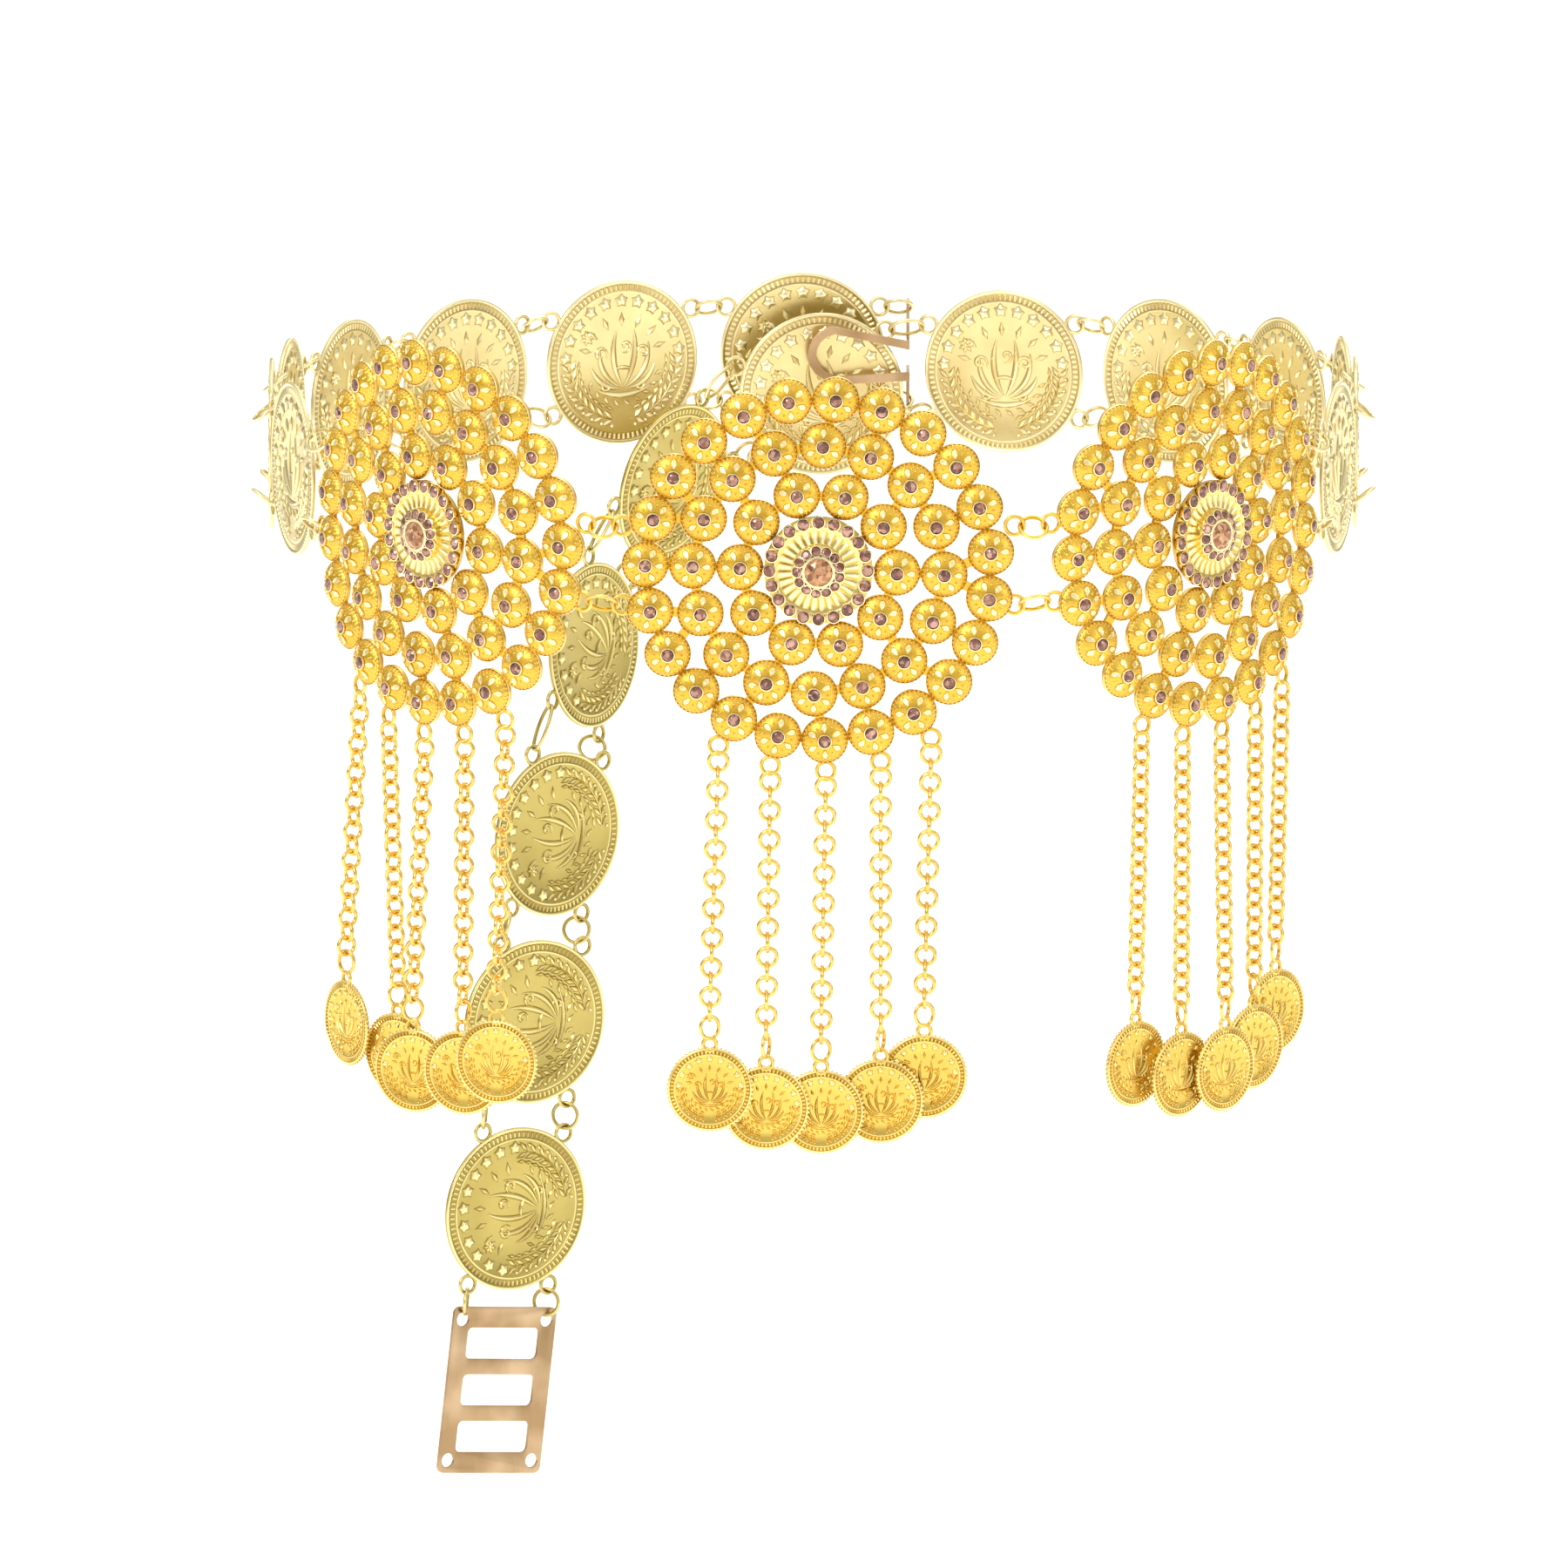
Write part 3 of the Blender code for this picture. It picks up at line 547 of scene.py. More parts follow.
def coin_shape():
    profile = [(0.0, FIELD_LEVEL), (8.0, FIELD_LEVEL), (19.4, FIELD_LEVEL), (19.7, FIELD_LEVEL + 0.12)]
    profile += [(20.0, FIELD_LEVEL), (22.0, FIELD_LEVEL - 0.04), (22.25, RIM_LEVEL - 0.04)]
    profile += [(22.6, RIM_LEVEL), (22.9, RIM_LEVEL - 0.12), (COIN_RADIUS, 0.25)]
    # Painted highlight on the bead ring and the rim's top, painted shade in the flat inside the rim and on
    # the edge
    tones = [FIELD, FIELD, FIELD - 0.05, BRIGHT, 0.25, 0.25, 0.8, BRIGHT, 0.8, 0.4]
    profile += [(r, -z) for r, z in reversed(profile)]
    tones += tones[::-1]
    disc = lathe(profile, 112, tones)
    face = struck_design(FIELD_LEVEL - 0.02, 11, 8, 0.62)
    face.put(milled_bars(21.0, 92, 1.7, 0.95, FIELD_LEVEL - 0.04, 0.3))
    shape = both_faces(disc, face)
    lug = wire_ring(LUG_RADIUS, WIRE / 2, 26)
    for end in (-1, 1):
        for across in (-LUG_ACROSS, LUG_ACROSS):
            shape.put(lug, Matrix.Translation((end * LUG_ALONG, across, 0.0)))
    return shape


def pendant_shape():
    """A small coin hanging from its loop. The origin is where it swings in the last ring of its chain."""
    level, rim = 0.3, 0.52
    profile = [(0.0, level), (6.0, level), (9.1, level), (9.3, level + 0.1), (9.5, level), (10.4, level)]
    profile += [(10.55, rim), (10.85, rim - 0.06), (PENDANT_RADIUS, 0.2)]
    # Painted highlight on the bead ring and the rim, painted shade in the groove between them and on the
    # edge
    tones = [FIELD, FIELD, FIELD, BRIGHT, GROOVE, GROOVE, BRIGHT, 0.8, 0.4]
    profile += [(r, -z) for r, z in reversed(profile)]
    tones += tones[::-1]
    disc = lathe(profile, 72, tones)
    face = Shape()
    design = struck_design(level - 0.02, 9, 6, 0.42)
    face.put(design, Matrix.Diagonal((0.47, 0.47, 1.0, 1.0)))
    face.put(milled_bars(9.95, 64, 0.95, 0.62, level - 0.02, 0.24))
    coin = both_faces(disc, face)
    # Painted highlight on the tips of each tooth
    tooth = lathe([(0.0, 0.3), (0.42, 0.22), (0.42, -0.22), (0.0, -0.3)], 6, [BRIGHT, 0.7, 0.7, BRIGHT])
    for k in range(58):
        a = 2 * math.pi * k / 58
        coin.put(tooth, Matrix.Translation(polar(PENDANT_RADIUS + 0.02, a)))
    shape = Shape()
    loop = LOOP_LENGTH + PIVOT_RISE
    shape.put(coin, Matrix.Translation((0.0, -loop - PENDANT_RADIUS + 0.8, 0.0)))
    ring = wire_ring(LOOP_RADIUS, CHAIN_WIRE, 24)
    shape.put(ring, Matrix.Translation((0.0, -loop + LOOP_RADIUS, 0.0)))
    return shape


def dome_height(radius):
    return DOME_BASE + DOME_RISE * math.sqrt(max(1.0 - (radius / DOME_REACH) ** 2, 0.0))


def on_dome(radius, angle, lift):
    return polar(radius, angle, dome_height(radius) + lift)


def petal_loop(angle, size, lift):
    """A drop-shaped loop on the dome, counted anticlockwise. size scales it about its own middle."""
    loop = []
    for run, half in PETAL + tuple((run, -half) for run, half in PETAL[-2:0:-1]):
        radius = PETAL_MIDDLE + (run - PETAL_MIDDLE) * size
        loop.append(on_dome(radius, angle - math.atan2(half * size, radius), lift))
    return loop


def bead_petal(angle):
    """One opening of the filigree: a plate painted pale for the light in the opening, inside a raised wire
    with painted shade in the groove round it.
    """
    shape = Shape()
    points = [on_dome(PETAL_MIDDLE, angle, 0.1)]
    tones = [BRIGHT]
    for size, lift, tone in ((0.7, 0.06, BRIGHT), (0.9, 0.36, 0.75), (1.1, -0.1, GROOVE)):
        loop = petal_loop(angle, size, lift)
        points += loop
        tones += [tone] * len(loop)
    points.append(on_dome(PETAL_MIDDLE, angle, -0.5))
    tones.append(GROOVE)
    shape.add(points, turned_faces(3, len(loop)), tones)
    return shape


def bead_grain(radius, angle):
    """One grain of the filigree, a low cone on the dome."""
    shape = Shape()
    points = []
    for k in range(5):
        b = 2 * math.pi * k / 5
        points.append(on_dome(radius + GRAIN * math.cos(b), angle + GRAIN * math.sin(b) / radius, -0.08))
    points.append(on_dome(radius, angle, 0.3))
    faces = [(k, (k + 1) % 5, 5) for k in range(5)] + [(4, 3, 2, 1, 0)]
    # Painted shade at the foot of the grain and painted highlight on its tip
    shape.add(points, faces, [0.05] * 5 + [BRIGHT])
    return shape


def bead_shape():
    """A domed filigree bead with a collar for its stone, closed by a flat back. Its tones paint a highlight
    on the collar's top and the bead's lip, and shade at the collar's foot, in the groove at the edge and
    under the bead.
    """
    seat = dome_height(BEAD_SEAT)
    rows = [(0.0, seat - 0.1, GROOVE), (1.55, seat - 0.1, GROOVE), (1.62, seat + 0.42, BRIGHT)]
    rows += [(1.9, seat + 0.36, 0.9), (1.98, dome_height(2.0), GROOVE)]
    rows += [(radius, dome_height(radius), 0.45) for radius in (2.1, 2.7, 3.4, 4.1, 4.7, 5.2, 5.6)]
    rows += [(5.85, 1.62, GROOVE), (6.0, 1.75, 0.9), (BEAD_RADIUS + 0.06, 1.45, 0.8)]
    rows += [(BEAD_RADIUS, 0.5, 0.2), (5.4, 0.15, 0.1), (0.0, 0.3, GROOVE)]
    shape = lathe([(radius, height) for radius, height, _ in rows], 36, [tone for *_, tone in rows])
    for k in range(PETALS):
        shape.put(bead_petal(2 * math.pi * k / PETALS))
    for count, radius, first in GRAIN_ROWS:
        for k in range(count):
            shape.put(bead_grain(radius, 2 * math.pi * (k + first) / count))
    return shape


def stone_shape(radius, sides=8):
    """A brilliant-cut stone: a flat table, crown facets in two rows and a girdle, closed underneath."""
    shape = Shape()
    rows = ((0.52, 0.42, 0.0), (0.8, 0.27, 0.5), (1.0, 0.04, 0.0), (0.94, -0.12, 0.0))
    points, faces = [], []
    for reach, rise, turn in rows:
        points += circle(radius * reach, radius * rise, sides, turn)
    faces.append(tuple(range(sides)))
    for k in range(sides):
        j = (k + 1) % sides
        faces += [(k, sides + k, j), (j, sides + k, sides + j)]
        faces += [(sides + k, 2 * sides + k, 2 * sides + j), (sides + j, sides + k, 2 * sides + j)]
        faces.append((2 * sides + k, 3 * sides + k, 3 * sides + j, 2 * sides + j))
    faces.append(tuple(range(4 * sides - 1, 3 * sides - 1, -1)))
    shape.add(points, faces, FIELD)
    return shape


def setting_cup(radius):
    """The little collar that holds a stone of the medallion."""
    profile = [(0.0, -0.1), (radius * 0.96, -0.1), (radius * 1.0, 0.28), (radius * 1.17, 0.22)]
    profile += [(radius * 1.2, -0.7), (0.0, -0.7)]
    # Painted highlight on the collar's lip and painted shade below it
    return lathe(profile, 20, [GROOVE, GROOVE, BRIGHT, 0.8, GROOVE, GROOVE])


def medallion_gold():
    """The fluted dish of a medallion with its ring walls and the cups of its stones."""
    shape = Shape()
    segments = FLUTES * len(FLUTE_LIFTS)
    rows = [(11.3, 2.95, 0), (10.6, 2.85, 0), (10.2, 2.7, 1), (8.6, 2.62, 1), (7.4, 2.9, 1), (7.0, 3.0, 0)]
    rows += [(6.9, 4.1, 0), (4.6, 4.9, 0)]
    points = [Vector((0.0, 0.0, 5.0))]
    tones = [GROOVE]
    for radius, height, fluted in reversed(rows):
        for k in range(segments):
            lift = FLUTE_LIFTS[k % 3] * fluted
            points.append(polar(radius, 2 * math.pi * k / segments, height + lift))
            tones.append(FLUTE_TONES[k % 3] if fluted else 0.55)
    # Painted highlight on the dish's lip and painted shade down its outer wall and under it
    outside = [(11.6, 3.1, 0.9), (11.9, 2.6, 0.3), (14.15, 2.0, 0.3), (14.15, 0.9, 0.1), (13.4, 0.1, 0.1)]
    for radius, height, tone in outside:
        points += circle(radius, height, segments)
        tones += [tone] * segments
    points.append(Vector((0.0, 0.0, 0.1)))
    tones.append(GROOVE)
    shape.add(points, turned_faces(len(rows) + len(outside), segments), tones)
    for placed, radius in stone_places():
        shape.put(setting_cup(radius), placed)
    return shape


def stone_places():
    """Where a medallion's stones sit, each with its radius: outer ring, inner ring and centre."""
    places = []
    count, reach, height, size = OUTER_STONES
    for k in range(count):
        places.append((Matrix.Translation(polar(reach, 2 * math.pi * k / count, height)), size))
    count, reach, height, size = INNER_STONES
    for k in range(count):
        a = 2 * math.pi * (k + 0.5) / count
        lean = Matrix.Rotation(a, 4, "Z") @ Matrix.Rotation(INNER_LEAN, 4, "Y")
        places.append((Matrix.Translation(polar(reach, a, height)) @ lean, size))
    places.append((Matrix.Translation((0.0, 0.0, CENTRE_HEIGHT)), CENTRE_STONE))
    return places


def bead_places():
    """Where the beads of a flat rosette sit."""
    places = []
    for count, radius, first in BEAD_RINGS:
        for k in range(count):
            a = math.radians(first + 360.0 * k / count)
            places.append(Matrix.Rotation(a, 4, "Z") @ Matrix.Translation((radius, 0.0, 0.0)))
    return places


def eyelet_place(k):
    """Middle of the eyelet below bead k of the outer ring."""
    count, _, first = BEAD_RINGS[-1]
    return polar(EYELET_RING, math.radians(first + 360.0 * k / count), LUG_LEVEL)


def bridge(start, end):
    """A small flat tab that joins two neighbouring beads."""
    shape = Shape()
    run = (end - start).normalized()
    side = Vector((-run.y, run.x, 0.0)) * TAB_HALF_WIDTH
    middle = (start + end) / 2
    half = run * TAB_HALF_LENGTH
    points = []
    for level in TAB_LEVELS:
        up = Vector((0.0, 0.0, level))
        points += [middle - half - side + up, middle + half - side + up]
        points += [middle + half + side + up, middle - half + side + up]
    faces = [(3, 2, 1, 0), (4, 5, 6, 7), (0, 1, 5, 4), (1, 2, 6, 5), (2, 3, 7, 6), (3, 0, 4, 7)]
    # Painted shade on the tab's lower face
    shape.add(points, faces, [0.1] * 4 + [0.45] * 4)
    return shape


def rosette_fittings():
    """The tabs between beads, the wire lugs at the sides and the eyelets below."""
    shape = Shape()
    places = [placed.translation for placed in bead_places()]
    for i, start in enumerate(places):
        for end in places[i + 1:]:
            if (end - start).length < BEAD_SPAN:
                shape.put(bridge(start, end))
    lug = wire_ring(LUG_RADIUS, WIRE / 2, 24)
    for end in (-1, 1):
        for across in ROSETTE_LUGS:
            shape.put(lug, Matrix.Translation((end * LUG_REACH, across, LUG_LEVEL)))
    eyelet = wire_ring(EYELET_RADIUS, WIRE / 2, 22)
    for k in EYELET_BEADS:
        shape.put(eyelet, Matrix.Translation(eyelet_place(k)))
    return shape


# Meshes and Geometry Nodes


def plain_mesh(name, shape, placed=None):
    """The mesh of a shape, in metres, with its tones."""
    mesh = bpy.data.meshes.new(name)
    points = shape.points if placed is None else [placed @ p for p in shape.points]
    mesh.from_pydata([p * MM for p in points], [], shape.faces)
    tone = mesh.attributes.new("tone", "FLOAT", "POINT")
    tone.data.foreach_set("value", shape.tones)
    mesh.shade_smooth()
    return mesh


def sharpened(mesh, degrees):
    mesh.set_sharp_from_angle(angle=math.radians(degrees))
    return mesh


def turned_out(mesh, join=0.0):
    """Turns the faces outwards, after points closer than join are made one."""
    body = bmesh.new()
    body.from_mesh(mesh)
    if join:
        bmesh.ops.remove_doubles(body, verts=body.verts, dist=join)
    bmesh.ops.recalc_face_normals(body, faces=body.faces)
    body.to_mesh(mesh)
    body.free()
    return mesh


def finished(name, mesh, material, body, replaced=(), sharp=55.0):
    """Makes a piece of a mesh, which holds its place, and lets it ride on its body."""
    sharpened(mesh, sharp).materials.append(material)
    return riding(object_of(name, mesh), body, replaced)


def riding(made, body, replaced):
    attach(made, body)
    if replaced:
        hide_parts(*replaced)
    return made


def template(name, shape, sharp):
    """An object that a node tree copies."""
    return object_of(name, sharpened(plain_mesh(name, shape), sharp))


def node(tree, kind, sockets=None, **settings):
    """Adds a node. Each socket named takes a value, or a link from another node's output."""
    made = tree.nodes.new(kind)
    for label, value in settings.items():
        setattr(made, label, value)
    fill(tree, made, sockets or {})
    return made


def fill(tree, made, sockets):
    for label, value in sockets.items():
        if isinstance(value, bpy.types.NodeSocket):
            tree.links.new(value, made.inputs[label])
        else:
            made.inputs[label].default_value = value


def new_tree(name, kind, given, made):
    """A node group with its input and output sockets, and the identifiers of the inputs."""
    tree = bpy.data.node_groups.new(name, kind)
    identifiers = {}
    for way, sockets in (("INPUT", given), ("OUTPUT", made)):
        for label, sort in sockets:
            socket = tree.interface.new_socket(label, in_out=way, socket_type="NodeSocket" + sort)
            if way == "INPUT":
                identifiers[label] = socket.identifier
    return tree, identifiers


def geometry_tree(name, *sockets):
    geometry = ("Geometry", "Geometry")
    return new_tree(name, "GeometryNodeTree", (geometry, *sockets), (geometry,))


def chain_tree():
    """Rolo chain: links on a straight line, each turned a quarter about it from the one before."""
    ends = (("Top", "Vector"), ("Bottom", "Vector"), ("Links", "Int"), ("Face turn", "Float"))
    wires = (("Link radius", "Float"), ("Wire radius", "Float"), ("Tone", "Float"), ("Finish", "Material"))
    tree, identifiers = geometry_tree("rolo chain", *ends, *wires)
    given = node(tree, "NodeGroupInput").outputs
    ends = {"Count": given["Links"], "Start Location": given["Top"], "Offset": given["Bottom"]}
    line = node(tree, "GeometryNodeMeshLine", ends, mode="END_POINTS")
    ring = {"Resolution": CHAIN_STEPS, "Radius": given["Link radius"]}
    ring = node(tree, "GeometryNodeCurvePrimitiveCircle", ring)
    wire = {"Resolution": CHAIN_SIDES, "Radius": given["Wire radius"]}
    wire = node(tree, "GeometryNodeCurvePrimitiveCircle", wire)
    curves = {"Curve": ring.outputs["Curve"], "Profile Curve": wire.outputs["Curve"]}
    link = node(tree, "GeometryNodeCurveToMesh", curves)
    smooth = node(tree, "GeometryNodeSetShadeSmooth", {"Geometry": link.outputs["Mesh"]})
    stored = {"Name": "tone", "Geometry": smooth.outputs["Geometry"], "Value": given["Tone"]}
    tone = node(tree, "GeometryNodeStoreNamedAttribute", stored, data_type="FLOAT", domain="POINT")
    index = node(tree, "GeometryNodeInputIndex")
    odd = node(tree, "ShaderNodeMath", {0: index.outputs["Index"], 1: 2.0}, operation="MODULO")
    quarter = {0: odd.outputs["Value"], 1: math.pi / 2, 2: given["Face turn"]}
    quarter = node(tree, "ShaderNodeMath", quarter, operation="MULTIPLY_ADD")
    turn = node(tree, "ShaderNodeCombineXYZ", {"X": math.pi / 2, "Z": quarter.outputs["Value"]})
    copies = {"Points": line.outputs["Mesh"], "Instance": tone.outputs["Geometry"]}
    copies = node(tree, "GeometryNodeInstanceOnPoints", copies | {"Rotation": turn.outputs["Vector"]})
    end_tree(tree, given, copies.outputs["Instances"])
    return tree, identifiers


def copies_tree():
    """Copies of one piece on given points, turned by each point's own angles and scaled by its size."""
    tree, identifiers = geometry_tree("set pieces", ("Piece", "Object"), ("Finish", "Material"))
    given = node(tree, "NodeGroupInput").outputs
    piece = node(tree, "GeometryNodeObjectInfo", {"Object": given["Piece"]})
    turn = node(tree, "GeometryNodeInputNamedAttribute", {"Name": "turn"}, data_type="FLOAT_VECTOR")
    size = node(tree, "GeometryNodeInputNamedAttribute", {"Name": "size"}, data_type="FLOAT_VECTOR")
    copies = {
        "Points": given["Geometry"],
        "Instance": piece.outputs["Geometry"],
        "Rotation": turn.outputs["Attribute"],
        "Scale": size.outputs["Attribute"],
    }
    copies = node(tree, "GeometryNodeInstanceOnPoints", copies)
    end_tree(tree, given, copies.outputs["Instances"])
    return tree, identifiers


def end_tree(tree, given, instances):
    """Every tree ends in real geometry with its finish."""
    real = node(tree, "GeometryNodeRealizeInstances", {"Geometry": instances})
    coat = {"Geometry": real.outputs["Geometry"], "Material": given["Finish"]}
    coat = node(tree, "GeometryNodeSetMaterial", coat)
    node(tree, "NodeGroupOutput", {"Geometry": coat.outputs["Geometry"]})


def evaluated(holder):
    """The mesh that an object comes out as. The object goes."""
    bpy.context.view_layer.update()
    graph = bpy.context.evaluated_depsgraph_get()
    mesh = bpy.data.meshes.new_from_object(holder.evaluated_get(graph))
    bpy.data.objects.remove(holder, do_unlink=True)
    return mesh


def grown(name, base, tree, identifiers, values):
    """The plain mesh that a node tree makes from a base mesh."""
    holder = object_of(name + "_holder", base)
    modifier = holder.modifiers.new("grown", "NODES")
    modifier.node_group = tree
    for label, value in values.items():
        modifier[identifiers[label]] = value
    mesh = evaluated(holder)
    mesh.name = name
    return mesh


def set_pieces(name, piece, places, material, trees):
    """Copies of a template at a list of matrices, as one plain mesh in metres."""
    base = bpy.data.meshes.new(name + "_points")
    base.from_pydata([placed.translation * MM for placed in places], [], [])
    turn = base.attributes.new("turn", "FLOAT_VECTOR", "POINT")
    size = base.attributes.new("size", "FLOAT_VECTOR", "POINT")
    for i, placed in enumerate(places):
        turn.data[i].vector = placed.to_euler()
        size.data[i].vector = placed.to_scale()
    tree, identifiers = trees["copies"]
    return grown(name, base, tree, identifiers, {"Piece": piece, "Finish": material})


def joined(name, meshes):
    """Several meshes with the same finish as one."""
    body = bmesh.new()
    for mesh in meshes:
        body.from_mesh(mesh)
    made = bpy.data.meshes.new(name)
    body.to_mesh(made)
    body.free()
    for mesh in meshes:
        for material in mesh.materials:
            if material and material.name not in made.materials:
                made.materials.append(material)
    return made


def placed_mesh(mesh, placed, bend=0.0):
    """Wraps a mesh round the waist and puts it in its place."""
    for vertex in mesh.vertices:
        vertex.co = (placed @ bent(vertex.co / MM, bend)) * MM
    mesh.update()
    return mesh


def object_of(name, mesh):
    made = bpy.data.objects.new(name, mesh)
    bpy.context.scene.collection.objects.link(made)
    return made


# Finishes

CLOUD_SIZE = 60.0
GRAIN_BUMP = 0.06
BRUSH_BUMP = 0.12
BUMP_DEPTH = 0.0002
GOLDS = (  # piece, material, groove (painted shade), field, bright tops (painted highlight), roughness
    ("rosette", "rosette_gold", (0.46, 0.20, 0.0), (0.88, 0.58, 0.08), (1.0, 0.92, 0.52), 0.32),
    ("chain", "chain_gold", (0.60, 0.30, 0.04), (0.90, 0.60, 0.14), (1.0, 0.80, 0.34), 0.22),
    ("pendant", "pendant_gold", (0.46, 0.23, 0.01), (0.86, 0.60, 0.13), (1.0, 0.86, 0.38), 0.28),
    ("dish", "dish_gold", (0.50, 0.27, 0.03), (0.90, 0.66, 0.18), (1.0, 0.92, 0.58), 0.2),
    ("coin", "belt_coin_gold", (0.34, 0.20, 0.02), (0.90, 0.77, 0.38), (1.0, 0.93, 0.62), 0.3),
    ("tail", "tail_coin_gold", (0.20, 0.13, 0.01), (0.58, 0.46, 0.14), (1.0, 0.86, 0.42), 0.3),
)
STONES = (  # piece, material, dark, light and deep facets: the stone's own colour with painted reflections
    ("stone", "champagne_stone", (0.05, 0.012, 0.008), (0.70, 0.40, 0.30), (0.25, 0.09, 0.055)),
    ("centre_stone", "amber_stone", (0.10, 0.03, 0.005), (0.85, 0.50, 0.26), (0.42, 0.17, 0.06)),
)


def shader_tree(name):
    material = bpy.data.materials.new(name)
    material.use_nodes = True
    tree = material.node_tree
    return material, tree, tree.nodes["Principled BSDF"]


def struck_gold_group():
    """Colour and roughness of gold plate from its tone, which paints shade in grooves and highlights on
    raised tops, with slow clouds of colour and handling marks.
    """
    colours = [(label, "Color") for label in ("Groove", "Field", "Bright")]
    given = (("Tone", "Float"), *colours, ("Cloud size", "Float"), ("Base roughness", "Float"))
    made = (("Colour", "Color"), ("Roughness", "Float"), ("Grain", "Float"))
    group, _ = new_tree("struck gold", "ShaderNodeTree", given, made)
    given = node(group, "NodeGroupInput").outputs
    place = node(group, "ShaderNodeTexCoord").outputs["Object"]
    cloud = {"Vector": place, "Scale": given["Cloud size"], "Detail": 3.0}
    cloud = node(group, "ShaderNodeTexNoise", cloud)
    grain = node(group, "ShaderNodeTexNoise", {"Vector": place, "Scale": 1400.0, "Detail": 2.0})
    lower = {"Value": given["Tone"], "From Min": 0.0, "From Max": 0.5}
    lower = node(group, "ShaderNodeMapRange", lower)
    upper = {"Value": given["Tone"], "From Min": 0.5, "From Max": 1.0}
    upper = node(group, "ShaderNodeMapRange", upper)
    # Painted shade below the field's tone and painted highlight above it
    dark = mixed(group, lower.outputs["Result"], given["Groove"], given["Field"])
    light = mixed(group, upper.outputs["Result"], dark, given["Bright"])
    veil = {"Value": cloud.outputs["Fac"], "From Min": 0.42, "From Max": 0.72, "To Max": 0.22}
    veil = node(group, "ShaderNodeMapRange", veil)
    clouded = mixed(group, veil.outputs["Result"], light, given["Groove"])
    worn = {"Value": grain.outputs["Fac"], "To Min": -0.06, "To Max": 0.1}
    worn = node(group, "ShaderNodeMapRange", worn)
    rough = {0: worn.outputs["Result"], 1: given["Base roughness"]}
    rough = node(group, "ShaderNodeMath", rough, operation="ADD")
    made = {"Colour": clouded, "Roughness": rough.outputs["Value"], "Grain": grain.outputs["Fac"]}
    node(group, "NodeGroupOutput", made)
    return group


def mixed(tree, factor, first, second):
    mix = node(tree, "ShaderNodeMix", data_type="RGBA")
    fill(tree, mix, {0: factor, 6: first, 7: second})
    return mix.outputs[2]


def ramp(tree, factor, *stops):
    """A run of colours. Each stop is its place and its colour, from the first to the last."""
    made = node(tree, "ShaderNodeValToRGB", {"Fac": factor})
    for place, _ in stops[1:-1]:
        made.color_ramp.elements.new(place)
    for element, (place, colour) in zip(made.color_ramp.elements, stops):
        element.position = place
        element.color = (*colour, 1.0)
    return made.outputs["Color"]


def bumped(tree, shader, height, strength):
    bump = {"Strength": strength, "Distance": BUMP_DEPTH, "Height": height}
    bump = node(tree, "ShaderNodeBump", bump)
    tree.links.new(bump.outputs["Normal"], shader.inputs["Normal"])


def gold_finish(name, group, groove, field, bright, roughness):
    material, tree, shader = shader_tree(name)
    tone = node(tree, "ShaderNodeAttribute", attribute_name="tone")
    plate = {
        "Tone": tone.outputs["Fac"],
        "Groove": (*groove, 1.0),
        "Field": (*field, 1.0),
        "Bright": (*bright, 1.0),
        "Cloud size": CLOUD_SIZE,
        "Base roughness": roughness,
    }
    plate = node(tree, "ShaderNodeGroup", plate, node_tree=group)
    coat = {"Base Color": plate.outputs["Colour"], "Roughness": plate.outputs["Roughness"]}
    fill(tree, shader, coat | {"Metallic": 1.0})
    bumped(tree, shader, plate.outputs["Grain"], GRAIN_BUMP)
    return material


def stone_finish(name, dark, light, deep):
    """Cut glass: a foil-backed stone shows light and dark facets, which vary from stone to stone. Its own
    colour is painted in random patches of light and dark that stand for the reflections in its facets.
    """
    material, tree, shader = shader_tree(name)
    place = node(tree, "ShaderNodeTexCoord").outputs["Object"]
    facets = node(tree, "ShaderNodeTexVoronoi", {"Vector": place, "Scale": 900.0})
    colour = ramp(tree, facets.outputs["Color"], (0.0, dark), (0.45, deep), (1.0, light))
    fill(tree, shader, {"Base Color": colour, "Metallic": 0.35, "Roughness": 0.1})
    fill(tree, shader, {"Coat Weight": 0.6, "Coat Roughness": 0.03})
    return material


def brushed_finish(name, base, light):
    """Plated strip, rolled and lightly brushed along its length."""
    material, tree, shader = shader_tree(name)
    place = node(tree, "ShaderNodeTexCoord").outputs["Object"]
    stretch = node(tree, "ShaderNodeMapping", {"Vector": place, "Scale": (1.0, 1.0, 0.06)})
    lines = {"Vector": stretch.outputs["Vector"], "Scale": 900.0, "Detail": 4.0}
    lines = node(tree, "ShaderNodeTexNoise", lines)
    cloud = node(tree, "ShaderNodeTexNoise", {"Vector": place, "Scale": 70.0})
    colour = ramp(tree, cloud.outputs["Fac"], (0.35, base), (0.65, light))
    rough = {"Value": lines.outputs["Fac"], "To Min": 0.2, "To Max": 0.42}
    rough = node(tree, "ShaderNodeMapRange", rough)
    coat = {"Base Color": colour, "Roughness": rough.outputs["Result"]}
    fill(tree, shader, coat | {"Metallic": 1.0})
    bumped(tree, shader, lines.outputs["Fac"], BRUSH_BUMP)
    return material


def finishes():
    group = struck_gold_group()
    looks = {key: gold_finish(name, group, *values) for key, name, *values in GOLDS}
    for key, name, *colours in STONES:
        looks[key] = stone_finish(name, *colours)
    looks["clasp"] = brushed_finish("rose_plate", (0.40, 0.26, 0.13), (0.62, 0.44, 0.26))
    return looks


# Pieces


def bodies_for(name):
    """A hinged piece rides on the body with its own name, and the rest of the belt on root."""
    return name if name in frame["bodies"] else "root"


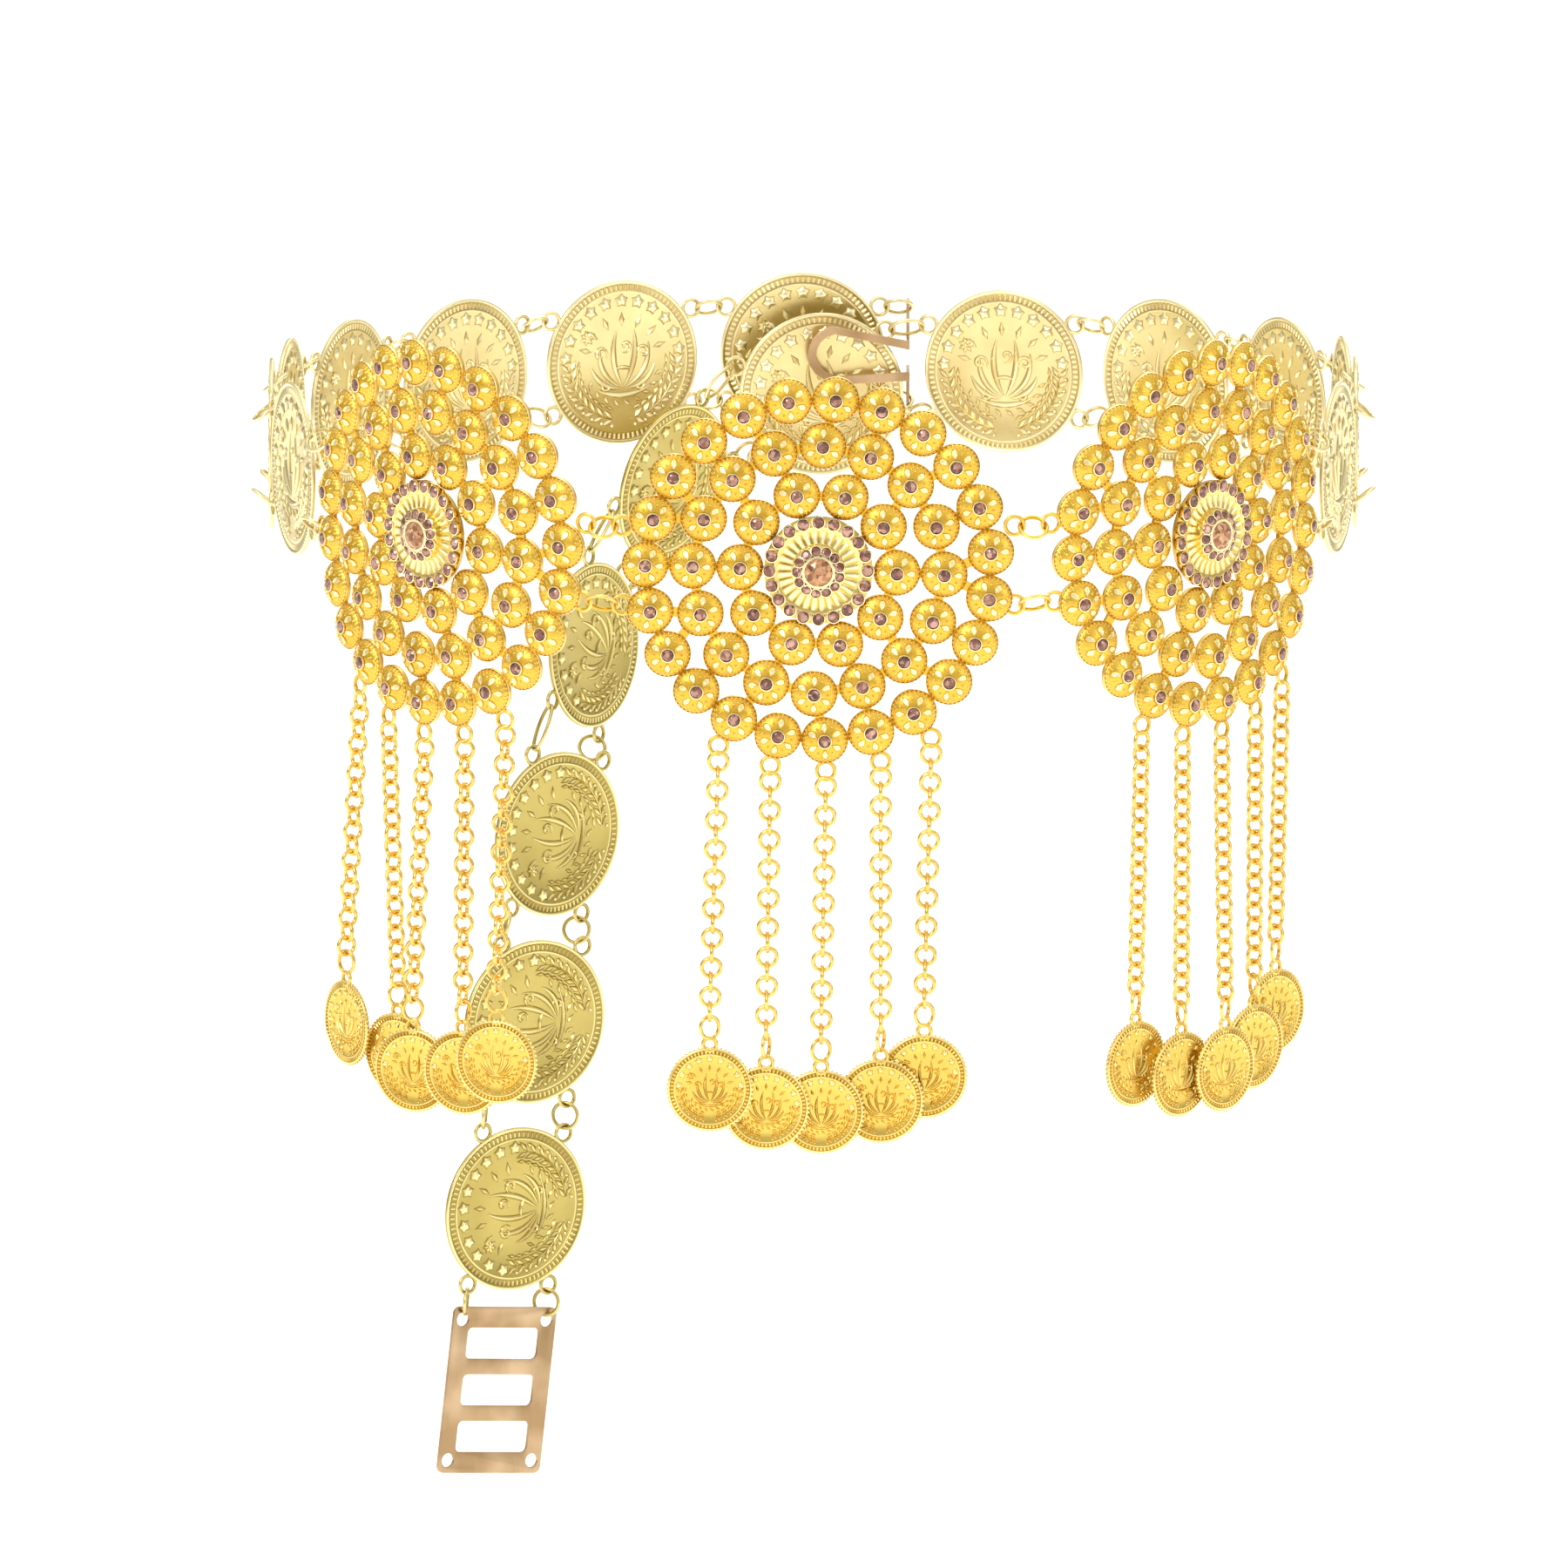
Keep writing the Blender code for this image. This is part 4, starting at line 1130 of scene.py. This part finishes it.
def jump_ring(near, near_frame, far, side, lean):
    """A wire ring through two lug holes, leaned about its run so that its hole shows."""
    run = (far - near).normalized()
    half = max((far - near).length / 2 - RING_SEAT, SHORTEST_RING)
    out = near_frame.col[2].xyz
    out = (out - run * out.dot(run)).normalized()
    out = Matrix.Rotation(math.radians(lean) * side, 3, run) @ out
    middle = (near + far) / 2
    squeeze = (max(half / RING_RADIUS, 1.0), 1.0)
    if half < RING_RADIUS:
        middle = middle + out * math.sqrt(RING_RADIUS ** 2 - half ** 2)
    placed = Matrix((run, out, run.cross(out))).transposed().to_4x4()
    placed.translation = middle
    ring = Shape()
    ring.put(wire_ring(RING_RADIUS, WIRE / 2, 30, squeeze), placed)
    return ring


def ring_pair(near_lugs, near_frame, far_lugs, side):
    pair = Shape()
    for lean, near, far in zip((RING_TURN, -RING_TURN), near_lugs, far_lugs):
        pair.put(jump_ring(near, near_frame, far, side, lean))
    return pair


def make_rosette(key, placed, bend, looks, trees, templates, rings):
    beads = set_pieces("beads_" + key, templates["bead"], bead_places(), looks["rosette"], trees)
    fittings = sharpened(plain_mesh("fittings", rosette_fittings()), 50.0)
    mesh = placed_mesh(joined("rosette_" + key + "_beads", [beads, fittings]), placed, bend)
    if rings:
        mesh = joined("rosette_" + key + "_beads", [mesh, plain_mesh("rings", rings)])
    riding(object_of(mesh.name, mesh), "root", ["rosette_" + key])
    lift = Matrix.Translation((0.0, 0.0, dome_height(BEAD_SEAT) + STONE_LIFT))
    stones = [place @ lift for place in bead_places()]
    mesh = set_pieces("bead_stones_" + key, templates["stone"], stones, looks["stone"], trees)
    riding(object_of("rosette_" + key + "_stones", placed_mesh(mesh, placed, bend)), "root", ())


def make_medallion(key, placed, looks, trees, templates):
    name = "medallion_" + key
    dish = plain_mesh(name + "_dish", medallion_gold(), placed)
    finished(dish.name, dish, looks["dish"], "root", [name])
    places = stone_places()
    ring = [m @ Matrix.Scale(r / BEAD_STONE, 4) for m, r in places[:-1]]
    mesh = set_pieces("ring_stones_" + key, templates["stone"], ring, looks["stone"], trees)
    riding(object_of(name + "_stones", placed_mesh(mesh, placed)), "root", ())
    centre = Shape()
    centre.put(stone_shape(CENTRE_STONE, 12), places[-1][0])
    mesh = plain_mesh(name + "_centre", centre, placed)
    finished(mesh.name, mesh, looks["centre_stone"], "root", (), sharp=STONE_SHARP)


def make_drops(key, placed, bend, looks, trees, pendant):
    """The five chains of a rosette and the pendant on each."""
    u, n = placed.col[0].xyz, placed.col[2].xyz
    tree, identifiers = trees["chain"]
    for number, (k, (sway, layer, turn)) in enumerate(zip(EYELET_BEADS, PENDANTS[key]), 1):
        eye = placed @ bent(eyelet_place(k), bend)
        hang = eye + u * sway + n * (layer * LAYER)
        hang.z = eye.z - CHAIN_DROP + PENDANT_RADIUS + PENDANT_ABOVE
        face = math.radians(turn)
        lowest = hang + Vector((0.0, 0.0, 2 * BOTTOM_RING - LAST_OVERLAP))
        top = eye - Vector((0.0, 0.0, CHAIN_START))
        bottom = lowest + Vector((0.0, 0.0, LINK_RADIUS - LINK_OVERLAP))
        name = f"chain_{key}_{number}"
        values = {
            "Top": top * MM,
            "Bottom": bottom * MM,
            "Links": max(round((top - bottom).length / LINK_PITCH) + 1, FEWEST_LINKS),
            "Face turn": face,
            "Link radius": LINK_RADIUS * MM,
            "Wire radius": LINK_WIRE * MM,
            "Tone": CHAIN_TONE,
            "Finish": looks["chain"],
        }
        mesh = grown(name + "_links", bpy.data.meshes.new(name + "_base"), tree, identifiers, values)
        upright = Matrix.Rotation(face + LAST_TURNS[number % 2], 4, "Z")
        upright = upright @ Matrix.Rotation(math.pi / 2, 4, "X")
        last = Shape()
        ring_place = Matrix.Translation(hang + Vector((0.0, 0.0, BOTTOM_RING - LAST_SEAT))) @ upright
        last.put(wire_ring(BOTTOM_RING, CHAIN_WIRE, 24, LAST_SQUEEZE), ring_place)
        mesh = joined(name + "_links", [mesh, plain_mesh("last_ring", last)])
        riding(object_of(name + "_links", mesh), "root", [name])

        across = Vector((math.cos(face), math.sin(face), 0.0))
        out = Vector((math.sin(face), -math.cos(face), 0.0))
        hung = Matrix((across, out.cross(across), out)).transposed().to_4x4()
        hung.translation = hang + Vector((0.0, 0.0, PIVOT_RISE))
        name = f"pendant_{key}_{number}"
        mesh = plain_mesh(name + "_coin", pendant, hung)
        finished(mesh.name, mesh, looks["pendant"], bodies_for(name), [name])


def make_coins(side, rows, rosettes, key, coin, looks):
    end, near_lugs = rosette_end(rosettes[key], side, ROSETTE_BEND)
    frames = walk(side, rows, end)
    names = list(frames)
    for i, name in enumerate(names):
        if name == "ladder_plate":
            continue
        placed = frames[name]
        look = looks["tail"] if "tail" in name else looks["coin"]
        shape = Shape()
        shape.put(coin, placed)
        if i == 0:
            shape.put(ring_pair(near_lugs, end, lug_holes(placed, -side), side))
        if i + 1 < len(names):
            on = names[i + 1]
            far = lug_holes(frames[on], -side, PLATE_NEAR if on == "ladder_plate" else LUG_ALONG)
            shape.put(ring_pair(lug_holes(placed, side), placed, far, side))
        elif key == "left":
            past = placed.copy()
            past.translation += along(past, side) * (2 * LUG_ALONG + HOOK_LINK)
            far = lug_holes(past, -side)
            shape.put(ring_pair(lug_holes(placed, side), placed, far, side))
        mesh = plain_mesh(name + "_struck", shape)
        finished(mesh.name, mesh, look, "root", [name])
    return frames


def rounded_loop(x, y, half_x, half_y, corner):
    loop = []
    steps = 5
    for sx, sy, start in ((1, 1, 0.0), (-1, 1, 90.0), (-1, -1, 180.0), (1, -1, 270.0)):
        for i in range(steps + 1):
            a = math.radians(start + 90.0 * i / steps)
            cx, cy = x + sx * (half_x - corner), y + sy * (half_y - corner)
            loop.append((cx + corner * math.cos(a), cy + corner * math.sin(a)))
    return loop


def make_ladder(placed, look):
    """The end plate: a stamped sheet with three slots, a hole in each corner and softened edges."""
    loops = [rounded_loop(0.0, 0.0, PLATE_LENGTH / 2, PLATE_WIDTH / 2, PLATE_CORNER)]
    for k in (-1, 0, 1):
        loops.append(rounded_loop(k * SLOT_PITCH, 0.0, SLOT_LENGTH / 2, SLOT_WIDTH / 2, SLOT_CORNER))
    for x in (-PLATE_NEAR, PLATE_NEAR):
        for y in (-PLATE_ACROSS, PLATE_ACROSS):
            loops.append(rounded_loop(x, y, PLATE_HOLE, PLATE_HOLE, PLATE_HOLE))
    outline = bpy.data.curves.new("ladder_outline", "CURVE")
    outline.dimensions = "2D"
    outline.fill_mode = "BOTH"
    outline.extrude = (SHEET / 2 - PLATE_EDGE) * MM
    outline.bevel_depth = PLATE_EDGE * MM
    outline.bevel_resolution = 2
    outline.offset = -PLATE_EDGE * MM
    for loop in loops:
        spline = outline.splines.new("POLY")
        spline.points.add(len(loop) - 1)
        for point, (x, y) in zip(spline.points, loop):
            point.co = (x * MM, y * MM, 0.0, 1.0)
        spline.use_cyclic_u = True
    mesh = turned_out(evaluated(object_of("ladder_holder", outline)), join=0.001 * MM)
    mesh.materials.clear()
    placed_mesh(mesh, placed)
    finished("ladder_stamped", mesh, look, "ladder_plate", ["ladder_plate"], sharp=50.0)


def make_hook(last, front, look):
    """A flat strip: its posts stand in the last left coin's rings, and its bow lies over the front coin."""
    post_x = last.translation.x + LUG_ALONG + HOOK_LINK - HOOK_POST_INSET
    back_y, bow_y = last.translation.y, front.translation.y - HOOK_FORWARD
    level = last.translation.z
    high, low, reach = level + HOOK_HIGH, level + HOOK_LOW, LUG_ACROSS + HOOK_POST_END
    path = [(post_x, back_y, level + reach), (post_x, back_y, high), (post_x, bow_y, high)]
    path += [(x, bow_y, high + z) for x, z in HOOK_BOW]
    path += [(post_x, bow_y, low), (post_x, back_y, low), (post_x, back_y, level - reach)]
    path = [Vector(p) for p in path]
    across, deep, up = Vector((1, 0, 0)), Vector((0, 1, 0)), Vector((0, 0, 1))
    wide, thin = HOOK_STRIP / 2, HOOK_SHEET / 2
    fold = across * thin - deep * thin
    sides = [(deep * wide, across * thin), ((deep - up) * wide, across * thin), (up * -wide, fold)]
    middle = Vector((HOOK_BOW_MIDDLE[0], bow_y, high + HOOK_BOW_MIDDLE[1]))
    for place in path[3:3 + len(HOOK_BOW)]:
        sides.append(((place - middle).normalized() * -wide, deep * -thin))
    sides += [(up * wide, fold), ((deep + up) * wide, across * thin), (deep * wide, across * thin)]
    shape = Shape()
    points, faces = [], []
    for place, (width, through) in zip(path, sides):
        points += [place + width + through, place - width + through]
        points += [place - width - through, place + width - through]
    for i in range(len(path) - 1):
        for k in range(4):
            m = (k + 1) % 4
            faces.append((4 * i + k, 4 * i + m, 4 * i + 4 + m, 4 * i + 4 + k))
    end = 4 * len(path) - 4
    faces += [(3, 2, 1, 0), (end, end + 1, end + 2, end + 3)]
    shape.add(points, faces, FIELD)
    mesh = turned_out(plain_mesh("hook_strip", shape))
    made = finished(mesh.name, mesh, look, "root", ["hook"], sharp=30.0)
    edge = made.modifiers.new("edge", "BEVEL")
    edge.width = HOOK_EDGE * MM
    edge.segments = 2
    edge.limit_method = "ANGLE"


def make_belt(looks, trees):
    templates = {
        "bead": template("bead_template", bead_shape(), 50.0),
        "stone": template("stone_template", stone_shape(BEAD_STONE), STONE_SHARP),
    }
    centre = piece_frame(1, 0.0, 0.0, Vector((0.0, FRONT_Y, 0.0)))
    rosettes = {"centre": centre, "left": side_rosette_frame(-1), "right": side_rosette_frame(1)}
    pendant = pendant_shape()
    rings = Shape()
    for side, key in ((-1, "left"), (1, "right")):
        near, near_lugs = rosette_end(centre, side, 0.0)
        _, far_lugs = rosette_end(rosettes[key], -side, ROSETTE_BEND)
        rings.put(ring_pair(near_lugs, near, far_lugs, side))
    for key, placed in rosettes.items():
        bend = 0.0 if key == "centre" else ROSETTE_BEND
        make_rosette(key, placed, bend, looks, trees, templates, rings if key == "centre" else None)
        make_medallion(key, placed, looks, trees, templates)
        make_drops(key, placed, bend, looks, trees, pendant)
    coin = coin_shape()
    left = make_coins(-1, LEFT_COINS, rosettes, "left", coin, looks)
    right = make_coins(1, RIGHT_COINS + (PLATE_ROW,), rosettes, "right", coin, looks)
    make_ladder(right["ladder_plate"], looks["clasp"])
    make_hook(left["coin_left_7"], right["coin_right_7"], looks["clasp"])
    for made in templates.values():
        bpy.data.objects.remove(made, do_unlink=True)


# Camera, floor and light

VIEW_LENS = 382.5
VIEW_DISTANCE = 4.5
VIEW_ELEVATION = 11.0
VIEW_TARGET = Vector((-0.00894, 0.0, -0.08797))
FLOOR_LEVEL = -0.43
FLOOR_REACH = 30.0
FLOOR_TINTS = ((0.93, 0.93, 0.93), (0.96, 0.96, 0.96))
HORIZON = 0.3
OVERHEAD = 1.0
LAMPS = (  # place, width, power
    ("key", (-1.6, -2.4, 1.9), 1.0, 30.0),
    ("fill", (2.2, -1.8, 0.7), 1.2, 8.0),
    ("top", (0.2, 0.6, 2.4), 1.2, 12.0),
    ("behind", (0.6, 2.4, 1.0), 1.2, 8.0),
)


def make_camera():
    lens = bpy.data.cameras.new("photograph_view")
    lens.lens = VIEW_LENS
    lens.sensor_width = 36.0
    lens.clip_end = 100.0
    camera = object_of("photograph_view", lens)
    lift = math.radians(VIEW_ELEVATION)
    back = Vector((0.0, -math.cos(lift), math.sin(lift)))
    camera.location = VIEW_TARGET + back * VIEW_DISTANCE
    camera.rotation_euler = (-back).to_track_quat("-Z", "Y").to_euler()
    bpy.context.scene.camera = camera


def make_light(name, place, size, power):
    lamp = bpy.data.lights.new(name, "AREA")
    lamp.energy = power
    lamp.size = size
    made = object_of(name, lamp)
    made.location = place
    made.rotation_euler = (VIEW_TARGET - Vector(place)).to_track_quat("-Z", "Y").to_euler()


def make_studio():
    world = bpy.data.worlds.new("studio")
    world.use_nodes = True
    tree = world.node_tree
    place = node(tree, "ShaderNodeTexCoord")
    parts = node(tree, "ShaderNodeSeparateXYZ", {"Vector": place.outputs["Generated"]})
    dome = {"Value": parts.outputs["Z"], "From Max": 0.6, "To Min": HORIZON, "To Max": OVERHEAD}
    dome = node(tree, "ShaderNodeMapRange", dome)
    sky = {"Color": (1.0, 0.99, 0.97, 1.0), "Strength": dome.outputs["Result"]}
    fill(tree, tree.nodes["Background"], sky)
    bpy.context.scene.world = world
    for lamp in LAMPS:
        make_light(*lamp)

    material, tree, shader = shader_tree("studio_floor")
    place = node(tree, "ShaderNodeTexCoord").outputs["Object"]
    grain = node(tree, "ShaderNodeTexNoise", {"Vector": place, "Scale": 3.0})
    colour = ramp(tree, grain.outputs["Fac"], (0.0, FLOOR_TINTS[0]), (1.0, FLOOR_TINTS[1]))
    paint = {"Base Color": colour, "Roughness": 0.9, "Specular IOR Level": 0.1}
    glow = {"Emission Color": (1.0, 1.0, 1.0, 1.0), "Emission Strength": 0.35}
    fill(tree, shader, paint | glow)
    mesh = bpy.data.meshes.new("studio_floor")
    corners = ((-1, -1), (1, -1), (1, 1), (-1, 1))
    corners = [(x * FLOOR_REACH, y * FLOOR_REACH, FLOOR_LEVEL) for x, y in corners]
    mesh.from_pydata(corners, [], [(0, 1, 2, 3)])
    mesh.materials.append(material)
    object_of("studio_floor", mesh)


def main():
    bpy.context.scene.view_settings.view_transform = "Standard"
    make_camera()
    make_studio()
    trees = {"chain": chain_tree(), "copies": copies_tree()}
    make_belt(finishes(), trees)


main()
